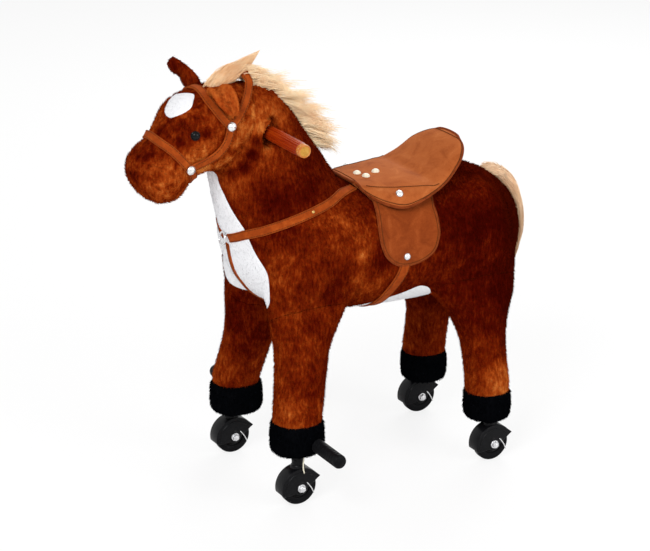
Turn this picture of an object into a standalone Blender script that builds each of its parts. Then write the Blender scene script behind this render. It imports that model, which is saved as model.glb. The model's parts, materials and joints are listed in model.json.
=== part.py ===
# Walking ride-on horse: a plush body stuffed round a steel frame, whose two pairs of legs
# hinge at the shoulder and the hip and stand on four one-way wheels.
# The horse faces -Y, its left side is +X, +Z is up and the floor is at Z = 0. All lengths
# are in metres. The origin lies on the floor, under the middle of the whole toy.

import math

import bmesh
import bpy
from mathutils import Matrix, Vector

# Clearances
GAP = 0.0003  # between two pieces that touch
CHANNEL_GAP = 0.0006  # round the frame inside the stuffing
SWING_ROOM = 0.0012  # round what moves inside the stuffing

# Wheels and casters
WHEELBASE = 0.335
TRACK = 0.216
WHEEL_RADIUS = 0.028
WHEEL_WIDTH = 0.014
WHEEL_SHOULDER = 0.003
WHEEL_SIDES = 20
HUB_RECESS_RADIUS = 0.018
HUB_RECESS_DEPTH = 0.002
AXLE_BOLT_RADIUS = 0.003
BOLT_HEAD_FLATS = 0.0105
BOLT_HEAD_HEIGHT = 0.006
HOOD_RADIUS = 0.0315
HOOD_WALL = 0.002
CHEEK_WALL = 0.004
CHEEK_LUG_RADIUS = 0.011
WHEEL_SIDE_ROOM = 0.0015
HOOD_FRONT_ANGLE = 104  # degrees from straight up, to the front lip
HOOD_REAR_ANGLE = 66  # degrees from straight up, to the rear beak
BEAK_REACH = 0.003
STEM_RADIUS = 0.009
STEM_PIN_RADIUS = 0.0065
STEM_PIN_LENGTH = 0.030
PAWL_WIRE_RADIUS = 0.0009
PAWL_LENGTH = 0.0205
PAWL_LEAN = 31  # degrees from the vertical
PAWL_START_BEHIND = 0.0095  # of the axle
PAWL_START_ABOVE = 0.0070
STEM_INSERT = 0.002  # of the hood's stem in the cuff

# Frame
AXLE_MIDDLE = 0.04566  # the middle of the wheelbase lies this far behind the origin
SHOULDER_SETBACK = 0.012  # shoulder pivot behind the front wheels' axle
HIP_SETBACK = 0.005  # hip pivot ahead of the rear wheels' axle
SHOULDER_HEIGHT = 0.3645
HIP_HEIGHT = 0.3465
LEG_SWING = 9  # degrees
FRAME_TUBE = 0.025
LUG_HALF = 0.0125  # of the cross bars and their lugs, along the horse
CROSS_DROP = 0.003  # of the cross bars below the spine
FRAME_DEPTH = 0.0255  # of the spine's top below the back
LUG_INSIDE = 0.066
LUG_WALL = 0.004
LUG_REACH = 0.012  # below the pivot
PIVOT_BOLT_RADIUS = 0.006
PIVOT_HEAD_RADIUS = 0.010
PIVOT_HEAD_HEIGHT = 0.006
HUB_RADIUS = 0.013
LEG_TUBE_RADIUS = 0.009
LEG_TUBE_TOP_X = 0.052
ANKLE_HEIGHT = 0.1345
SPRING_WIRE = 0.004
SPRING_LENGTH = 0.030
SPRING_START_X = -0.018
CRANK_REACH = 0.0235
CRANK_X = 0.028
CRANK_WALL = 0.006
CRANK_END_RADIUS = 0.008
CRANK_PIN_RADIUS = 0.004
CRANK_PIN_LENGTH = 0.009
LINK_WALL = 0.006
LINK_HEIGHT = 0.014
LINK_EYE_RADIUS = 0.009
LINK_OPEN_PLAY = 0.0014  # room at the link's rear eye for the pin's small rise
BOARD_LENGTH = 0.150
BOARD_WIDTH = 0.090
BOARD_THICKNESS = 0.010
BOARD_START = 0.122  # behind the shoulder pivot

# Handlebar and foot pegs
HANDLE_HEIGHT = 0.5525
HANDLE_SETBACK = 0.0175  # behind the neck's axis
HANDLE_HALF_SPAN = 0.1465
HANDLE_RADIUS = 0.009
SLEEVE_RADIUS = 0.0135
SLEEVE_HALF_WIDTH = 0.018
GRIP_RADIUS = 0.0106
GRIP_START_X = 0.040
FLUTES = 12
FLUTE_DEPTH = 0.0011
CAP_THICKNESS = 0.0035
CAP_PLUG_LENGTH = 0.006
CAP_PLUG_RADIUS = 0.005
PEG_HEIGHT = 0.0975
PEG_BEHIND = 0.0155  # behind the ankle tube's centre
PEG_ROD_RADIUS = 0.0075
PEG_START_X = 0.120
PEG_END_X = 0.203
PEG_CAP = 0.003
PEG_SWEEP = 4  # degrees back
SLIT_HEIGHT = 0.050
SLIT_WIDTH = 0.026
SLIT_BOTTOM_X = 0.030

# Stuffed body. Each station is a share of the length from the chest to the rump, then
# shares of the half width, the heights of the bottom and the top between BODY_LOW and
# BODY_HIGH, and how square the section is, where 2 is an ellipse.
BODY_LOW = 0.251
BODY_HIGH = 0.4535
BODY_WIDTH = 0.214
CHEST_REACH = 0.069  # ahead of the shoulder pivot
RUMP_REACH = 0.0985  # behind the hip pivot
BODY_SIDES = 24
BODY_STATIONS = (
    (0.000, 0.00, 0.72, 0.72, 2.0),
    (0.016, 0.37, 0.52, 0.92, 2.0),
    (0.055, 0.67, 0.33, 0.98, 2.1),
    (0.125, 0.88, 0.18, 1.03, 2.2),
    (0.220, 0.97, 0.09, 1.05, 2.2),
    (0.360, 0.99, 0.05, 1.00, 2.2),
    (0.500, 0.98, 0.04, 0.97, 2.2),
    (0.640, 0.98, 0.04, 0.97, 2.2),
    (0.775, 0.98, 0.05, 0.98, 2.2),
    (0.875, 0.86, 0.08, 0.93, 2.1),
    (0.945, 0.63, 0.13, 0.815, 2.0),
    (0.982, 0.40, 0.25, 0.69, 2.0),
    (1.000, 0.00, 0.50, 0.50, 2.0),
)

# Stuffed neck. Each station is a share of the length, then shares of the half width and
# of the half depth.
NECK_BASE_BEHIND = 0.022  # behind the shoulder pivot
NECK_BASE_DEPTH = 0.039  # below the back
NECK_LEAN = 23.5  # degrees forward
NECK_ABOVE_HANDLE = 0.0564  # height of its top end over the handle
NECK_WIDTH = 0.170
NECK_DEPTH = 0.184
NECK_SIDES = 20
NECK_STATIONS = (
    (-0.25, 0.70, 0.80),
    (0.00, 0.98, 1.00),
    (0.22, 0.86, 0.96),
    (0.46, 0.74, 0.86),
    (0.70, 0.66, 0.76),
    (0.90, 0.52, 0.57),
    (1.00, 0.32, 0.34),
)

# Stuffed head. Each station is a share of the length from the poll to the nose, then
# shares of the half width, and the heights of the jaw and the brow off the head's axis
# as shares of the half depth, and how square the section is.
HEAD_START_BEHIND = 0.0175  # behind the neck's top end
HEAD_START_BELOW = 0.0244
HEAD_SLOPE = 24.8  # degrees down
HEAD_LENGTH = 0.193
HEAD_WIDTH = 0.106
HEAD_DEPTH = 0.130
HEAD_SIDES = 20
HEAD_STATIONS = (
    (-0.10, 0.50, -0.30, 0.42, 2.1),
    (-0.02, 0.80, -0.52, 0.60, 2.2),
    (0.10, 0.94, -0.76, 0.78, 2.3),
    (0.22, 0.99, -0.88, 0.88, 2.4),
    (0.38, 1.00, -0.88, 0.97, 2.4),
    (0.51, 0.95, -0.74, 0.91, 2.3),
    (0.62, 0.86, -0.74, 0.69, 2.15),
    (0.74, 0.88, -0.93, 0.51, 2.15),
    (0.86, 0.84, -0.88, 0.43, 2.15),
    (0.95, 0.62, -0.66, 0.25, 2.1),
    (0.99, 0.30, -0.36, 0.00, 2.0),
    (1.00, 0.00, -0.16, -0.16, 2.0),
)

# Stuffed legs. Each station is a share of the height from the cuff to the pivot's drum,
# then shares of the half width and of the half depth, and how far the centre has moved
# from the foot towards the leg's top, inward and along. The last one lies inside the body.
FRONT_CUFF_LOW = 0.0760
FRONT_CUFF_HIGH = 0.1265
REAR_CUFF_LOW = 0.0665
REAR_CUFF_HIGH = 0.1120
CUFF_FLARE = 0.0035
FRONT_CUFF_INSET = 0.009  # towards the middle from the caster
REAR_CUFF_INSET = 0.014
FRONT_CUFF_BEHIND = 0.004  # behind the caster
REAR_CUFF_BEHIND = 0.001
LEG_WIDTH = 0.066
LEG_SIDES = 16
FRONT_LEG_DEPTH = 0.074
FRONT_LEG_TOP = 0.2925
FRONT_LEG_TOP_X = 0.070
FRONT_LEG_TOP_BEHIND = 0.036  # behind the front wheels' axle
FRONT_DRUM_RADIUS = 0.085
FRONT_LEG_STATIONS = (
    (0.00, 1.00, 0.97, 0.00, 0.00),
    (0.15, 1.00, 1.00, 0.18, 0.16),
    (0.45, 1.03, 1.05, 0.56, 0.48),
    (0.65, 1.06, 1.14, 0.72, 0.62),
    (0.82, 1.08, 1.36, 0.88, 0.80),
    (1.00, 1.08, 1.60, 1.00, 1.00),
    (1.35, 1.00, 1.60, 1.15, 1.10),
)
REAR_LEG_DEPTH = 0.064
REAR_LEG_TOP = 0.2845
REAR_LEG_TOP_X = 0.068
REAR_LEG_TOP_BEHIND = -0.016
REAR_DRUM_RADIUS = 0.092
REAR_LEG_STATIONS = (
    (0.00, 0.98, 1.02, 0.00, 0.00),
    (0.25, 0.98, 1.02, 0.30, 0.02),
    (0.48, 1.00, 1.12, 0.64, 0.08),
    (0.70, 1.04, 1.48, 0.82, 0.36),
    (0.85, 1.06, 1.90, 0.92, 0.66),
    (1.00, 1.06, 2.28, 1.00, 1.00),
    (1.30, 0.96, 2.34, 1.15, 1.00),
)

# Ears, eyes, mane, forelock and tail
EAR_WIDTH = 0.030
EAR_REACH = 0.050
EAR_THICKNESS = 0.016
EYE_RADIUS = 0.0068
EYE_SHARE = 0.475  # of the head's length
EYE_LIFT = 0.022  # above the head's axis
MANE_WIDTH = 0.034
MANE_HEIGHT = 0.044
FORELOCK_WIDTH = 0.030
FORELOCK_LENGTH = 0.090
TAIL_WIDTH = 0.050
TAIL_THICKNESS = 0.022
TAIL_LENGTH = 0.170
TAIL_REACH = 0.050  # behind its root
TAIL_ROOT_AHEAD = 0.034  # of the rump's end
TAIL_ROOT_BELOW = 0.032  # the back

# Saddle and straps. Each outline and path on the body is a side view, in shares of the
# length from the chest to the rump and of the height from BODY_LOW to BODY_HIGH. The views
# from the front have shares of the half width instead. Those on the head are in shares of
# its length and of its half depth.
BIB_THICKNESS = 0.0012
BIB_END = 0.004  # ahead of the shoulder pivot
STRAP_THICKNESS = 0.0025
STRAP_WIDTH = 0.012
GIRTH_WIDTH = 0.019
FLAP_THICKNESS = 0.005
SEAT_THICKNESS = 0.012
SEAT_EDGE = 0.005
CHANNEL_DEPTH = 0.0012
PAD_STATIONS = 12
PAD_CHANNELS = (1, 10)  # the sides of the body's section that the sewn channels run along
SEAT_OUTLINE = (
    (0.3893, 1.3284),
    (0.3913, 0.9630),
    (0.4181, 0.8938),
    (0.4676, 0.8593),
    (0.5335, 0.8593),
    (0.5870, 0.8938),
    (0.6323, 0.9580),
    (0.6818, 1.0420),
    (0.7024, 1.3284),
)
CANTLE_OUTLINE = (
    (0.5541, 0.8840),
    (0.5747, 1.0272),
    (0.6282, 1.0568),
    (0.6694, 1.1062),
    (0.7024, 1.1753),
    (0.7271, 1.2444),
    (0.7415, 1.2494),
    (0.7477, 1.2148),
    (0.7374, 1.1506),
    (0.7085, 1.0716),
    (0.6694, 0.9926),
    (0.6282, 0.9235),
)
CANTLE_FRONT_VIEW = (
    (0.7664, 0.8346),
    (0.7664, 0.9926),
    (0.7196, 1.0815),
    (0.6262, 1.1605),
    (0.4860, 1.2148),
    (0.2804, 1.2444),
    (0.0000, 1.2543),
)
FLAP_OUTLINE = (
    (0.3769, 0.9136),
    (0.3852, 0.7556),
    (0.4016, 0.5975),
    (0.4264, 0.4889),
    (0.4676, 0.4593),
    (0.5170, 0.4642),
    (0.5664, 0.5185),
    (0.5994, 0.6173),
    (0.6097, 0.7358),
    (0.6076, 0.8543),
    (0.5953, 0.9630),
    (0.4717, 1.0321),
)
GIRTH_PATH = ((0.5211, 0.4988), (0.3975, -0.1284))
BREAST_PATH = (
    (-0.0227, 0.6568),
    (0.0062, 0.7210),
    (0.0433, 0.8049),
    (0.0968, 0.8741),
    (0.1936, 0.9432),
    (0.3028, 1.0321),
    (0.3883, 1.0864),
)
NOSEBAND_PATH = ((0.7428, 0.8751), (0.5187, -1.0593))
CHEEK_PATH = ((0.6489, -0.3554), (0.2171, 0.0352), (-0.2469, 0.6696))
BROWBAND_PATH = ((0.2139, -0.0540), (0.2379, 1.3687))
BIB_OUTLINE = (
    (0.0935, 1.2099),
    (0.3364, 1.0272),
    (0.4206, 0.8000),
    (0.4673, 0.6173),
    (0.5234, 0.4198),
    (0.4860, 0.2815),
    (0.0000, 0.2025),
)
CHEST_STRAP_WIDTH = 0.010
CHEST_STRAP_END = 0.112  # behind the shoulder pivot
BREAST_RING_SHARE = 0.6889  # of the height
RING_RADIUS = 0.0095
RING_WIRE = 0.0018
RING_SINK = 0.0010  # into the strap ends
RING_SIDES = 18

# Places that follow from the sizes
FRONT_AXLE_Y = AXLE_MIDDLE - WHEELBASE / 2
REAR_AXLE_Y = AXLE_MIDDLE + WHEELBASE / 2
FOOT_X = TRACK / 2
SHOULDER = Vector((0, FRONT_AXLE_Y + SHOULDER_SETBACK, SHOULDER_HEIGHT))
HIP = Vector((0, REAR_AXLE_Y - HIP_SETBACK, HIP_HEIGHT))
CHEST_Y = SHOULDER.y - CHEST_REACH
RUMP_Y = HIP.y + RUMP_REACH
NECK_FOOT = Vector((0, SHOULDER.y + NECK_BASE_BEHIND, BODY_HIGH - NECK_BASE_DEPTH))
NECK_SLOPE = math.tan(math.radians(NECK_LEAN))
NECK_LENGTH = (HANDLE_HEIGHT + NECK_ABOVE_HANDLE - NECK_FOOT.z) / math.cos(math.radians(NECK_LEAN))
NECK_FORWARD = NECK_SLOPE * (HANDLE_HEIGHT - NECK_FOOT.z)  # at the handle
HANDLE = Vector((0, NECK_FOOT.y - NECK_FORWARD + HANDLE_SETBACK, HANDLE_HEIGHT))
FRONT_CUFF = (FRONT_CUFF_LOW, FRONT_CUFF_HIGH)
REAR_CUFF = (REAR_CUFF_LOW, REAR_CUFF_HIGH)
FRONT_FOOT = (FOOT_X - FRONT_CUFF_INSET, FRONT_AXLE_Y + FRONT_CUFF_BEHIND)
REAR_FOOT = (FOOT_X - REAR_CUFF_INSET, REAR_AXLE_Y + REAR_CUFF_BEHIND)
SIDE_REACH = BODY_WIDTH  # past both sides of the body and the legs
FRAME_TOP = BODY_HIGH - FRAME_DEPTH
FRAME_LOW = FRAME_TOP - FRAME_TUBE
CROSS_LOW = FRAME_LOW - CROSS_DROP
CROSS_TOP = CROSS_LOW + FRAME_TUBE
LUG_OUTSIDE = LUG_INSIDE + LUG_WALL
CHEEK_INSIDE = WHEEL_WIDTH / 2 + WHEEL_SIDE_ROOM
CHEEK_OUTSIDE = CHEEK_INSIDE + CHEEK_WALL
HOOD_INSIDE_RADIUS = HOOD_RADIUS - HOOD_WALL
STEM_TOP = FRONT_CUFF_LOW + STEM_INSERT

RIGHT = Vector((1, 0, 0))
BACK = Vector((0, 1, 0))
UP = Vector((0, 0, 1))


def clear_scene():
    for item in list(bpy.data.objects):
        bpy.data.objects.remove(item, do_unlink=True)


def finish(name, colour, roughness, metallic=0.0):
    """A Principled material in one colour."""
    made = bpy.data.materials.get(name)
    if made:
        return made
    made = bpy.data.materials.new(name)
    made.use_nodes = True
    shader = made.node_tree.nodes["Principled BSDF"]
    shader.inputs["Base Color"].default_value = (*colour, 1)
    shader.inputs["Roughness"].default_value = roughness
    shader.inputs["Metallic"].default_value = metallic
    made.diffuse_color = (*colour, 1)
    return made


def plush():
    return finish("chestnut plush", (0.22, 0.055, 0.015), 0.9)


def black_plush():
    return finish("black plush", (0.008, 0.008, 0.009), 0.95)


def white_plush():
    return finish("white plush", (0.80, 0.80, 0.80), 0.9)


def blonde_pile():
    return finish("blonde pile", (0.72, 0.46, 0.27), 0.85)


def tan_suede():
    return finish("tan suede", (0.33, 0.12, 0.035), 0.85)


def brown_strap():
    return finish("brown strap", (0.20, 0.065, 0.02), 0.8)


def frame_steel():
    return finish("frame steel", (0.10, 0.10, 0.11), 0.45, 1.0)


def bright_steel():
    return finish("bright steel", (0.62, 0.62, 0.64), 0.28, 1.0)


def black_plastic():
    return finish("black plastic", (0.010, 0.010, 0.012), 0.4)


def black_rubber():
    return finish("black rubber", (0.008, 0.008, 0.009), 0.65)


def red_wood():
    return finish("red wood", (0.30, 0.060, 0.012), 0.4)


def pale_wood():
    return finish("pale wood", (0.56, 0.33, 0.10), 0.4)


def eye_glass():
    return finish("eye glass", (0.003, 0.003, 0.004), 0.06)


def is_flat(face):
    first = face.verts[0].co
    return all(abs((vert.co - first).dot(face.normal)) < 1e-7 for vert in face.verts)


def shape_from_rings(rings, grow=0.0):
    """A closed skin over rings of points. A ring of one point is a rounded end's tip."""
    shape = bmesh.new()
    rows = [[shape.verts.new(point) for point in ring] for ring in rings]
    for first, second in zip(rows, rows[1:]):
        count = max(len(first), len(second))
        for i in range(count):
            j = (i + 1) % count
            corners = [first[i % len(first)], first[j % len(first)]]
            corners += [second[j % len(second)], second[i % len(second)]]
            shape.faces.new(list(dict.fromkeys(corners)))
    for row in (rows[0], rows[-1]):
        if len(row) > 1:
            shape.faces.new(row)
    shape.normal_update()
    bent = [face for face in shape.faces if len(face.verts) == 4 and not is_flat(face)]
    bmesh.ops.triangulate(shape, faces=bent)
    bmesh.ops.recalc_face_normals(shape, faces=shape.faces)
    if grow:
        shape.normal_update()
        moves = [vert.normal * vert.calc_shell_factor() * grow for vert in shape.verts]
        for vert, move in zip(shape.verts, moves):
            vert.co += move
    return shape


def oval(centre, across, upward, half_across, half_up, sides, fullness=2.0):
    """A ring of points; fullness 2 is an ellipse, and more is squarer."""
    if half_across < 1e-6:
        return [Vector(centre)]
    points = []
    for i in range(sides):
        angle = math.tau * (i + 0.5) / sides
        c, s = math.cos(angle), math.sin(angle)
        x = math.copysign(abs(c) ** (2 / fullness), c) * half_across
        y = math.copysign(abs(s) ** (2 / fullness), s) * half_up
        points.append(Vector(centre) + across * x + upward * y)
    return points


def box_shape(low, high):
    rings = []
    for z in (low[2], high[2]):
        corners = ((low[0], low[1]), (high[0], low[1]), (high[0], high[1]), (low[0], high[1]))
        rings.append([Vector((x, y, z)) for x, y in corners])
    return shape_from_rings(rings)


def prism_shape(outline, axis, low, high):
    """An outline drawn square to axis and extruded along it. A side view is (y, z)."""
    def corner(a, b, along):
        if axis == "X":
            return Vector((along, a, b))
        return Vector((a, along, b))
    return shape_from_rings([[corner(a, b, along) for a, b in outline] for along in (low, high)])


def pipe_shape(points, radius, sides=12):
    """A round bar along points, mitred at each bend."""
    points = [Vector(point) for point in points]
    steps = [(b - a).normalized() for a, b in zip(points, points[1:])]
    side = steps[0].orthogonal().normalized()
    rings = []
    for i, point in enumerate(points):
        before, after = steps[max(i - 1, 0)], steps[min(i, len(steps) - 1)]
        mitre = (before + after).normalized()
        side = (side - before * side.dot(before)).normalized()
        other = before.cross(side)
        ring = []
        for k in range(sides):
            angle = math.tau * (k + 0.5) / sides
            spoke = (side * math.cos(angle) + other * math.sin(angle)) * radius
            ring.append(point + spoke - before * (spoke.dot(mitre) / before.dot(mitre)))
        rings.append(ring)
    return shape_from_rings(rings)


def turned_shape(profile, centre, sides):
    """A profile of (distance along X, radius) turned round the X axis through centre. A
    profile that comes back to its start leaves a bore."""
    rings = []
    for along, radius in profile:
        rings.append(oval(centre + RIGHT * along, BACK, UP, radius, radius, sides))
    shape = bmesh.new()
    rows = [[shape.verts.new(point) for point in ring] for ring in rings]
    for first, second in zip(rows, rows[1:] + rows[:1]):
        for i in range(sides):
            j = (i + 1) % sides
            shape.faces.new((first[i], first[j], second[j], second[i]))
    bmesh.ops.recalc_face_normals(shape, faces=shape.faces)
    return shape


def both_sides(make):
    """The left and the right shape in one."""
    both = bmesh.new()
    for side in (1, -1):
        half = make(side)
        mesh = bpy.data.meshes.new("half")
        half.to_mesh(mesh)
        half.free()
        both.from_mesh(mesh)
        bpy.data.meshes.remove(mesh)
    return both


def hull_shape(points):
    shape = bmesh.new()
    for point in points:
        shape.verts.new(point)
    found = bmesh.ops.convex_hull(shape, input=shape.verts)
    loose = [item for item in found["geom_interior"] if isinstance(item, bmesh.types.BMVert)]
    bmesh.ops.delete(shape, geom=loose, context="VERTS")
    bmesh.ops.recalc_face_normals(shape, faces=shape.faces)
    return shape


def turned_about(points, pivot, degrees):
    """Points turned about the X axis through pivot; positive lifts what lies behind it."""
    turn = Matrix.Rotation(math.radians(degrees), 3, "X")
    return [pivot + turn @ (point - pivot) for point in points]


def new_object(name, shape):
    mesh = bpy.data.meshes.new(name)
    shape.to_mesh(mesh)
    shape.free()
    made = bpy.data.objects.new(name, mesh)
    bpy.context.collection.objects.link(made)
    return made


def piece(name, shape, material, smooth=True):
    made = new_object(name, shape)
    made.data.materials.append(material)
    if smooth:
        made.data.shade_smooth()
        made.data.set_sharp_from_angle(angle=math.radians(40))
    return made


def guide(name, shape):
    """A cutter, which is left out of the object."""
    made = new_object("guide_" + name, shape)
    made.hide_render = True
    made.display_type = "WIRE"
    return made


def combine(target, other, operation="DIFFERENCE"):
    step = target.modifiers.new(operation.lower(), "BOOLEAN")
    step.operation = operation
    step.solver = "EXACT"
    step.object = other
    return target


def hang_on(pivot_name, place, pieces):
    """An empty on a joint's axis, which the moving pieces hang on."""
    pivot = bpy.data.objects.new(pivot_name, None)
    pivot.empty_display_size = HUB_RADIUS
    pivot.location = place
    bpy.context.collection.objects.link(pivot)
    for item in pieces:
        item.parent = pivot
        item.matrix_parent_inverse = Matrix.Translation(-Vector(place))
    return pivot


def bar_along_x(centre, radius, low, high, sides=12):
    return pipe_shape((centre + RIGHT * low, centre + RIGHT * high), radius, sides)


# Forms of the stuffed pieces, which are also the guides that their neighbours are cut with


def body_rings():
    length = RUMP_Y - CHEST_Y
    height = BODY_HIGH - BODY_LOW
    rings = []
    for share, width, bottom, top, fullness in BODY_STATIONS:
        centre = Vector((0, CHEST_Y + share * length, BODY_LOW + height * (bottom + top) / 2))
        half_height = height * (top - bottom) / 2
        half_width = width * BODY_WIDTH / 2
        rings.append(oval(centre, RIGHT, UP, half_width, half_height, BODY_SIDES, fullness))
    return rings


def body_form(grow=0.0):
    return shape_from_rings(body_rings(), grow)


def body_ring(y):
    """The body's section at one place along it, between its two ends."""
    rings = body_rings()[1:-1]
    for before, after in zip(rings, rings[1:]):
        if before[0].y <= y <= after[0].y:
            mix = (y - before[0].y) / (after[0].y - before[0].y)
            return [a.lerp(b, mix) for a, b in zip(before, after)]


def neck_frame():
    lean = math.radians(NECK_LEAN)
    along = Vector((0, -math.sin(lean), math.cos(lean)))
    backward = Vector((0, math.cos(lean), math.sin(lean)))
    base = NECK_FOOT.copy()
    return base, along, backward


def neck_form(grow=0.0):
    base, along, backward = neck_frame()
    rings = []
    for share, width, depth in NECK_STATIONS:
        centre = base + along * share * NECK_LENGTH
        half_width, half_depth = width * NECK_WIDTH / 2, depth * NECK_DEPTH / 2
        rings.append(oval(centre, RIGHT, backward, half_width, half_depth, NECK_SIDES))
    return shape_from_rings(rings, grow)


def crest_point(share, outward=0.0):
    """A point on the neck's crest at a share of the neck's length."""
    base, along, backward = neck_frame()
    for low, high in zip(NECK_STATIONS, NECK_STATIONS[1:]):
        if low[0] <= share <= high[0]:
            mix = (share - low[0]) / (high[0] - low[0])
            depth = low[2] + (high[2] - low[2]) * mix
    return base + along * share * NECK_LENGTH + backward * (depth * NECK_DEPTH / 2 + outward)


def head_frame():
    slope = math.radians(HEAD_SLOPE)
    along = Vector((0, -math.cos(slope), -math.sin(slope)))
    upward = Vector((0, -math.sin(slope), math.cos(slope)))
    neck_base, neck_along, _ = neck_frame()
    base = neck_base + neck_along * NECK_LENGTH + BACK * HEAD_START_BEHIND - UP * HEAD_START_BELOW
    return base, along, upward


def head_point(share, lift):
    """A point in the head's middle plane, by its share of the length and its height."""
    base, along, upward = head_frame()
    return base + along * share * HEAD_LENGTH + upward * lift


def head_form(grow=0.0):
    base, along, upward = head_frame()
    rings = []
    for share, width, jaw, brow, fullness in HEAD_STATIONS:
        lift = (jaw + brow) / 2 * HEAD_DEPTH / 2
        centre = head_point(share, lift)
        half_width, half_height = width * HEAD_WIDTH / 2, (brow - jaw) / 2 * HEAD_DEPTH / 2
        rings.append(oval(centre, RIGHT, upward, half_width, half_height, HEAD_SIDES, fullness))
    return shape_from_rings(rings, grow)


def leg_rings(side, foot, cuff, top, top_x, top_y, depth, stations, grow=0.0):
    bottom = cuff[1] + GAP
    foot_x, foot_y = foot
    rings = []
    for share, width_share, depth_share, inward, along in stations:
        x = foot_x + (top_x - foot_x) * inward
        y = foot_y + (top_y - foot_y) * along
        centre = Vector((side * x, y, bottom + (top - bottom) * share))
        half_width = width_share * LEG_WIDTH / 2 + grow
        half_depth = depth_share * depth / 2 + grow
        rings.append(oval(centre, RIGHT, BACK, half_width, half_depth, LEG_SIDES, 2.1))
    return rings


def front_leg_rings(side, grow=0.0):
    top_y = FRONT_AXLE_Y + FRONT_LEG_TOP_BEHIND
    return leg_rings(side, FRONT_FOOT, FRONT_CUFF, FRONT_LEG_TOP, FRONT_LEG_TOP_X, top_y,
                     FRONT_LEG_DEPTH, FRONT_LEG_STATIONS, grow)


def rear_leg_rings(side, grow=0.0):
    top_y = REAR_AXLE_Y + REAR_LEG_TOP_BEHIND
    return leg_rings(side, REAR_FOOT, REAR_CUFF, REAR_LEG_TOP, REAR_LEG_TOP_X, top_y,
                     REAR_LEG_DEPTH, REAR_LEG_STATIONS, grow)


# Steel frame


def foot_tube_points(side, pivot, foot_y):
    return (
        pivot + RIGHT * side * LEG_TUBE_TOP_X,
        Vector((side * FOOT_X, foot_y, ANKLE_HEIGHT)),
        Vector((side * FOOT_X, foot_y, STEM_TOP + GAP)),
    )


def make_main_frame():
    half = FRAME_TUBE / 2
    low, high = (-half, SHOULDER.y - half, FRAME_LOW), (half, HIP.y + half, FRAME_TOP)
    frame = piece("main_frame", box_shape(low, high), frame_steel(), smooth=False)
    for label, pivot in (("shoulder", SHOULDER), ("hip", HIP)):
        low = (-LUG_OUTSIDE, pivot.y - LUG_HALF, CROSS_LOW)
        high = (LUG_OUTSIDE, pivot.y + LUG_HALF, CROSS_TOP)
        combine(frame, guide(label + "_cross", box_shape(low, high)), "UNION")
        for side in (-1, 1):
            ends = sorted((side * LUG_INSIDE, side * LUG_OUTSIDE))
            low = (ends[0], pivot.y - LUG_HALF, pivot.z - LUG_REACH)
            high = (ends[1], pivot.y + LUG_HALF, CROSS_LOW + LUG_WALL)
            name = f"{label}_lug_{'left' if side > 0 else 'right'}"
            combine(frame, guide(name, box_shape(low, high)), "UNION")
        bore = bar_along_x(pivot, PIVOT_BOLT_RADIUS + GAP, -SIDE_REACH, SIDE_REACH)
        combine(frame, guide(label + "_bolt_bore", bore))
    foot = Vector((0, SHOULDER.y, FRAME_TOP - half))
    combine(frame, guide("neck_post", pipe_shape((foot, HANDLE), half, 12)), "UNION")
    sleeve = bar_along_x(HANDLE, SLEEVE_RADIUS, -SLEEVE_HALF_WIDTH, SLEEVE_HALF_WIDTH)
    combine(frame, guide("handle_sleeve", sleeve), "UNION")
    bore = bar_along_x(HANDLE, HANDLE_RADIUS + GAP, -SLEEVE_HALF_WIDTH * 2, SLEEVE_HALF_WIDTH * 2)
    combine(frame, guide("handle_bore", bore))
    return frame


def crank_shape(pivot, direction, x_low, x_high, radius):
    """A flat arm from the pivot to its pin, with a round end."""
    points = []
    for x in (x_low, x_high):
        for centre, size in ((pivot, radius), (pivot + UP * direction * CRANK_REACH, radius)):
            points += oval(centre + RIGHT * x, BACK, UP, size, size, 12)
    return hull_shape(points)


def make_leg_frame(name, pivot, foot_y, crank_direction, with_pegs):
    hub = bar_along_x(pivot, HUB_RADIUS, -LUG_INSIDE + GAP, LUG_INSIDE - GAP, 16)
    frame = piece(name, hub, frame_steel())
    for side, label in ((1, "left"), (-1, "right")):
        points = foot_tube_points(side, pivot, foot_y)
        combine(frame, guide(f"{name}_tube_{label}", pipe_shape(points, LEG_TUBE_RADIUS)), "UNION")
        if with_pegs:
            rod = pipe_shape(peg_points(side, FOOT_X - 0.003, PEG_END_X - PEG_CAP - GAP), PEG_ROD_RADIUS, 10)
            combine(frame, guide(f"peg_rod_{label}", rod), "UNION")
        socket_low = Vector((side * FOOT_X, foot_y, STEM_TOP - GAP))
        socket_high = socket_low + UP * (STEM_PIN_LENGTH + 3 * GAP)
        socket = pipe_shape((socket_low, socket_high), STEM_PIN_RADIUS + GAP)
        combine(frame, guide(f"{name}_socket_{label}", socket))
    crank = crank_shape(pivot, crank_direction, CRANK_X, CRANK_X + CRANK_WALL, CRANK_END_RADIUS)
    combine(frame, guide(name + "_crank", crank), "UNION")
    pin_at = pivot + UP * crank_direction * CRANK_REACH
    pin = bar_along_x(pin_at, CRANK_PIN_RADIUS, CRANK_X, CRANK_X + CRANK_WALL + CRANK_PIN_LENGTH)
    combine(frame, guide(name + "_crank_pin", pin), "UNION")
    bore = bar_along_x(pivot, PIVOT_BOLT_RADIUS + GAP, -SIDE_REACH, SIDE_REACH)
    combine(frame, guide(name + "_bore", bore))
    return frame


def peg_points(side, start, end):
    """Two points on a peg's axis, at distances from the middle plane."""
    slope = math.tan(math.radians(PEG_SWEEP))
    root = Vector((side * FOOT_X, FRONT_AXLE_Y + PEG_BEHIND, PEG_HEIGHT))
    return [root + Vector((side, slope, 0)) * (reach - FOOT_X) for reach in (start, end)]


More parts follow.
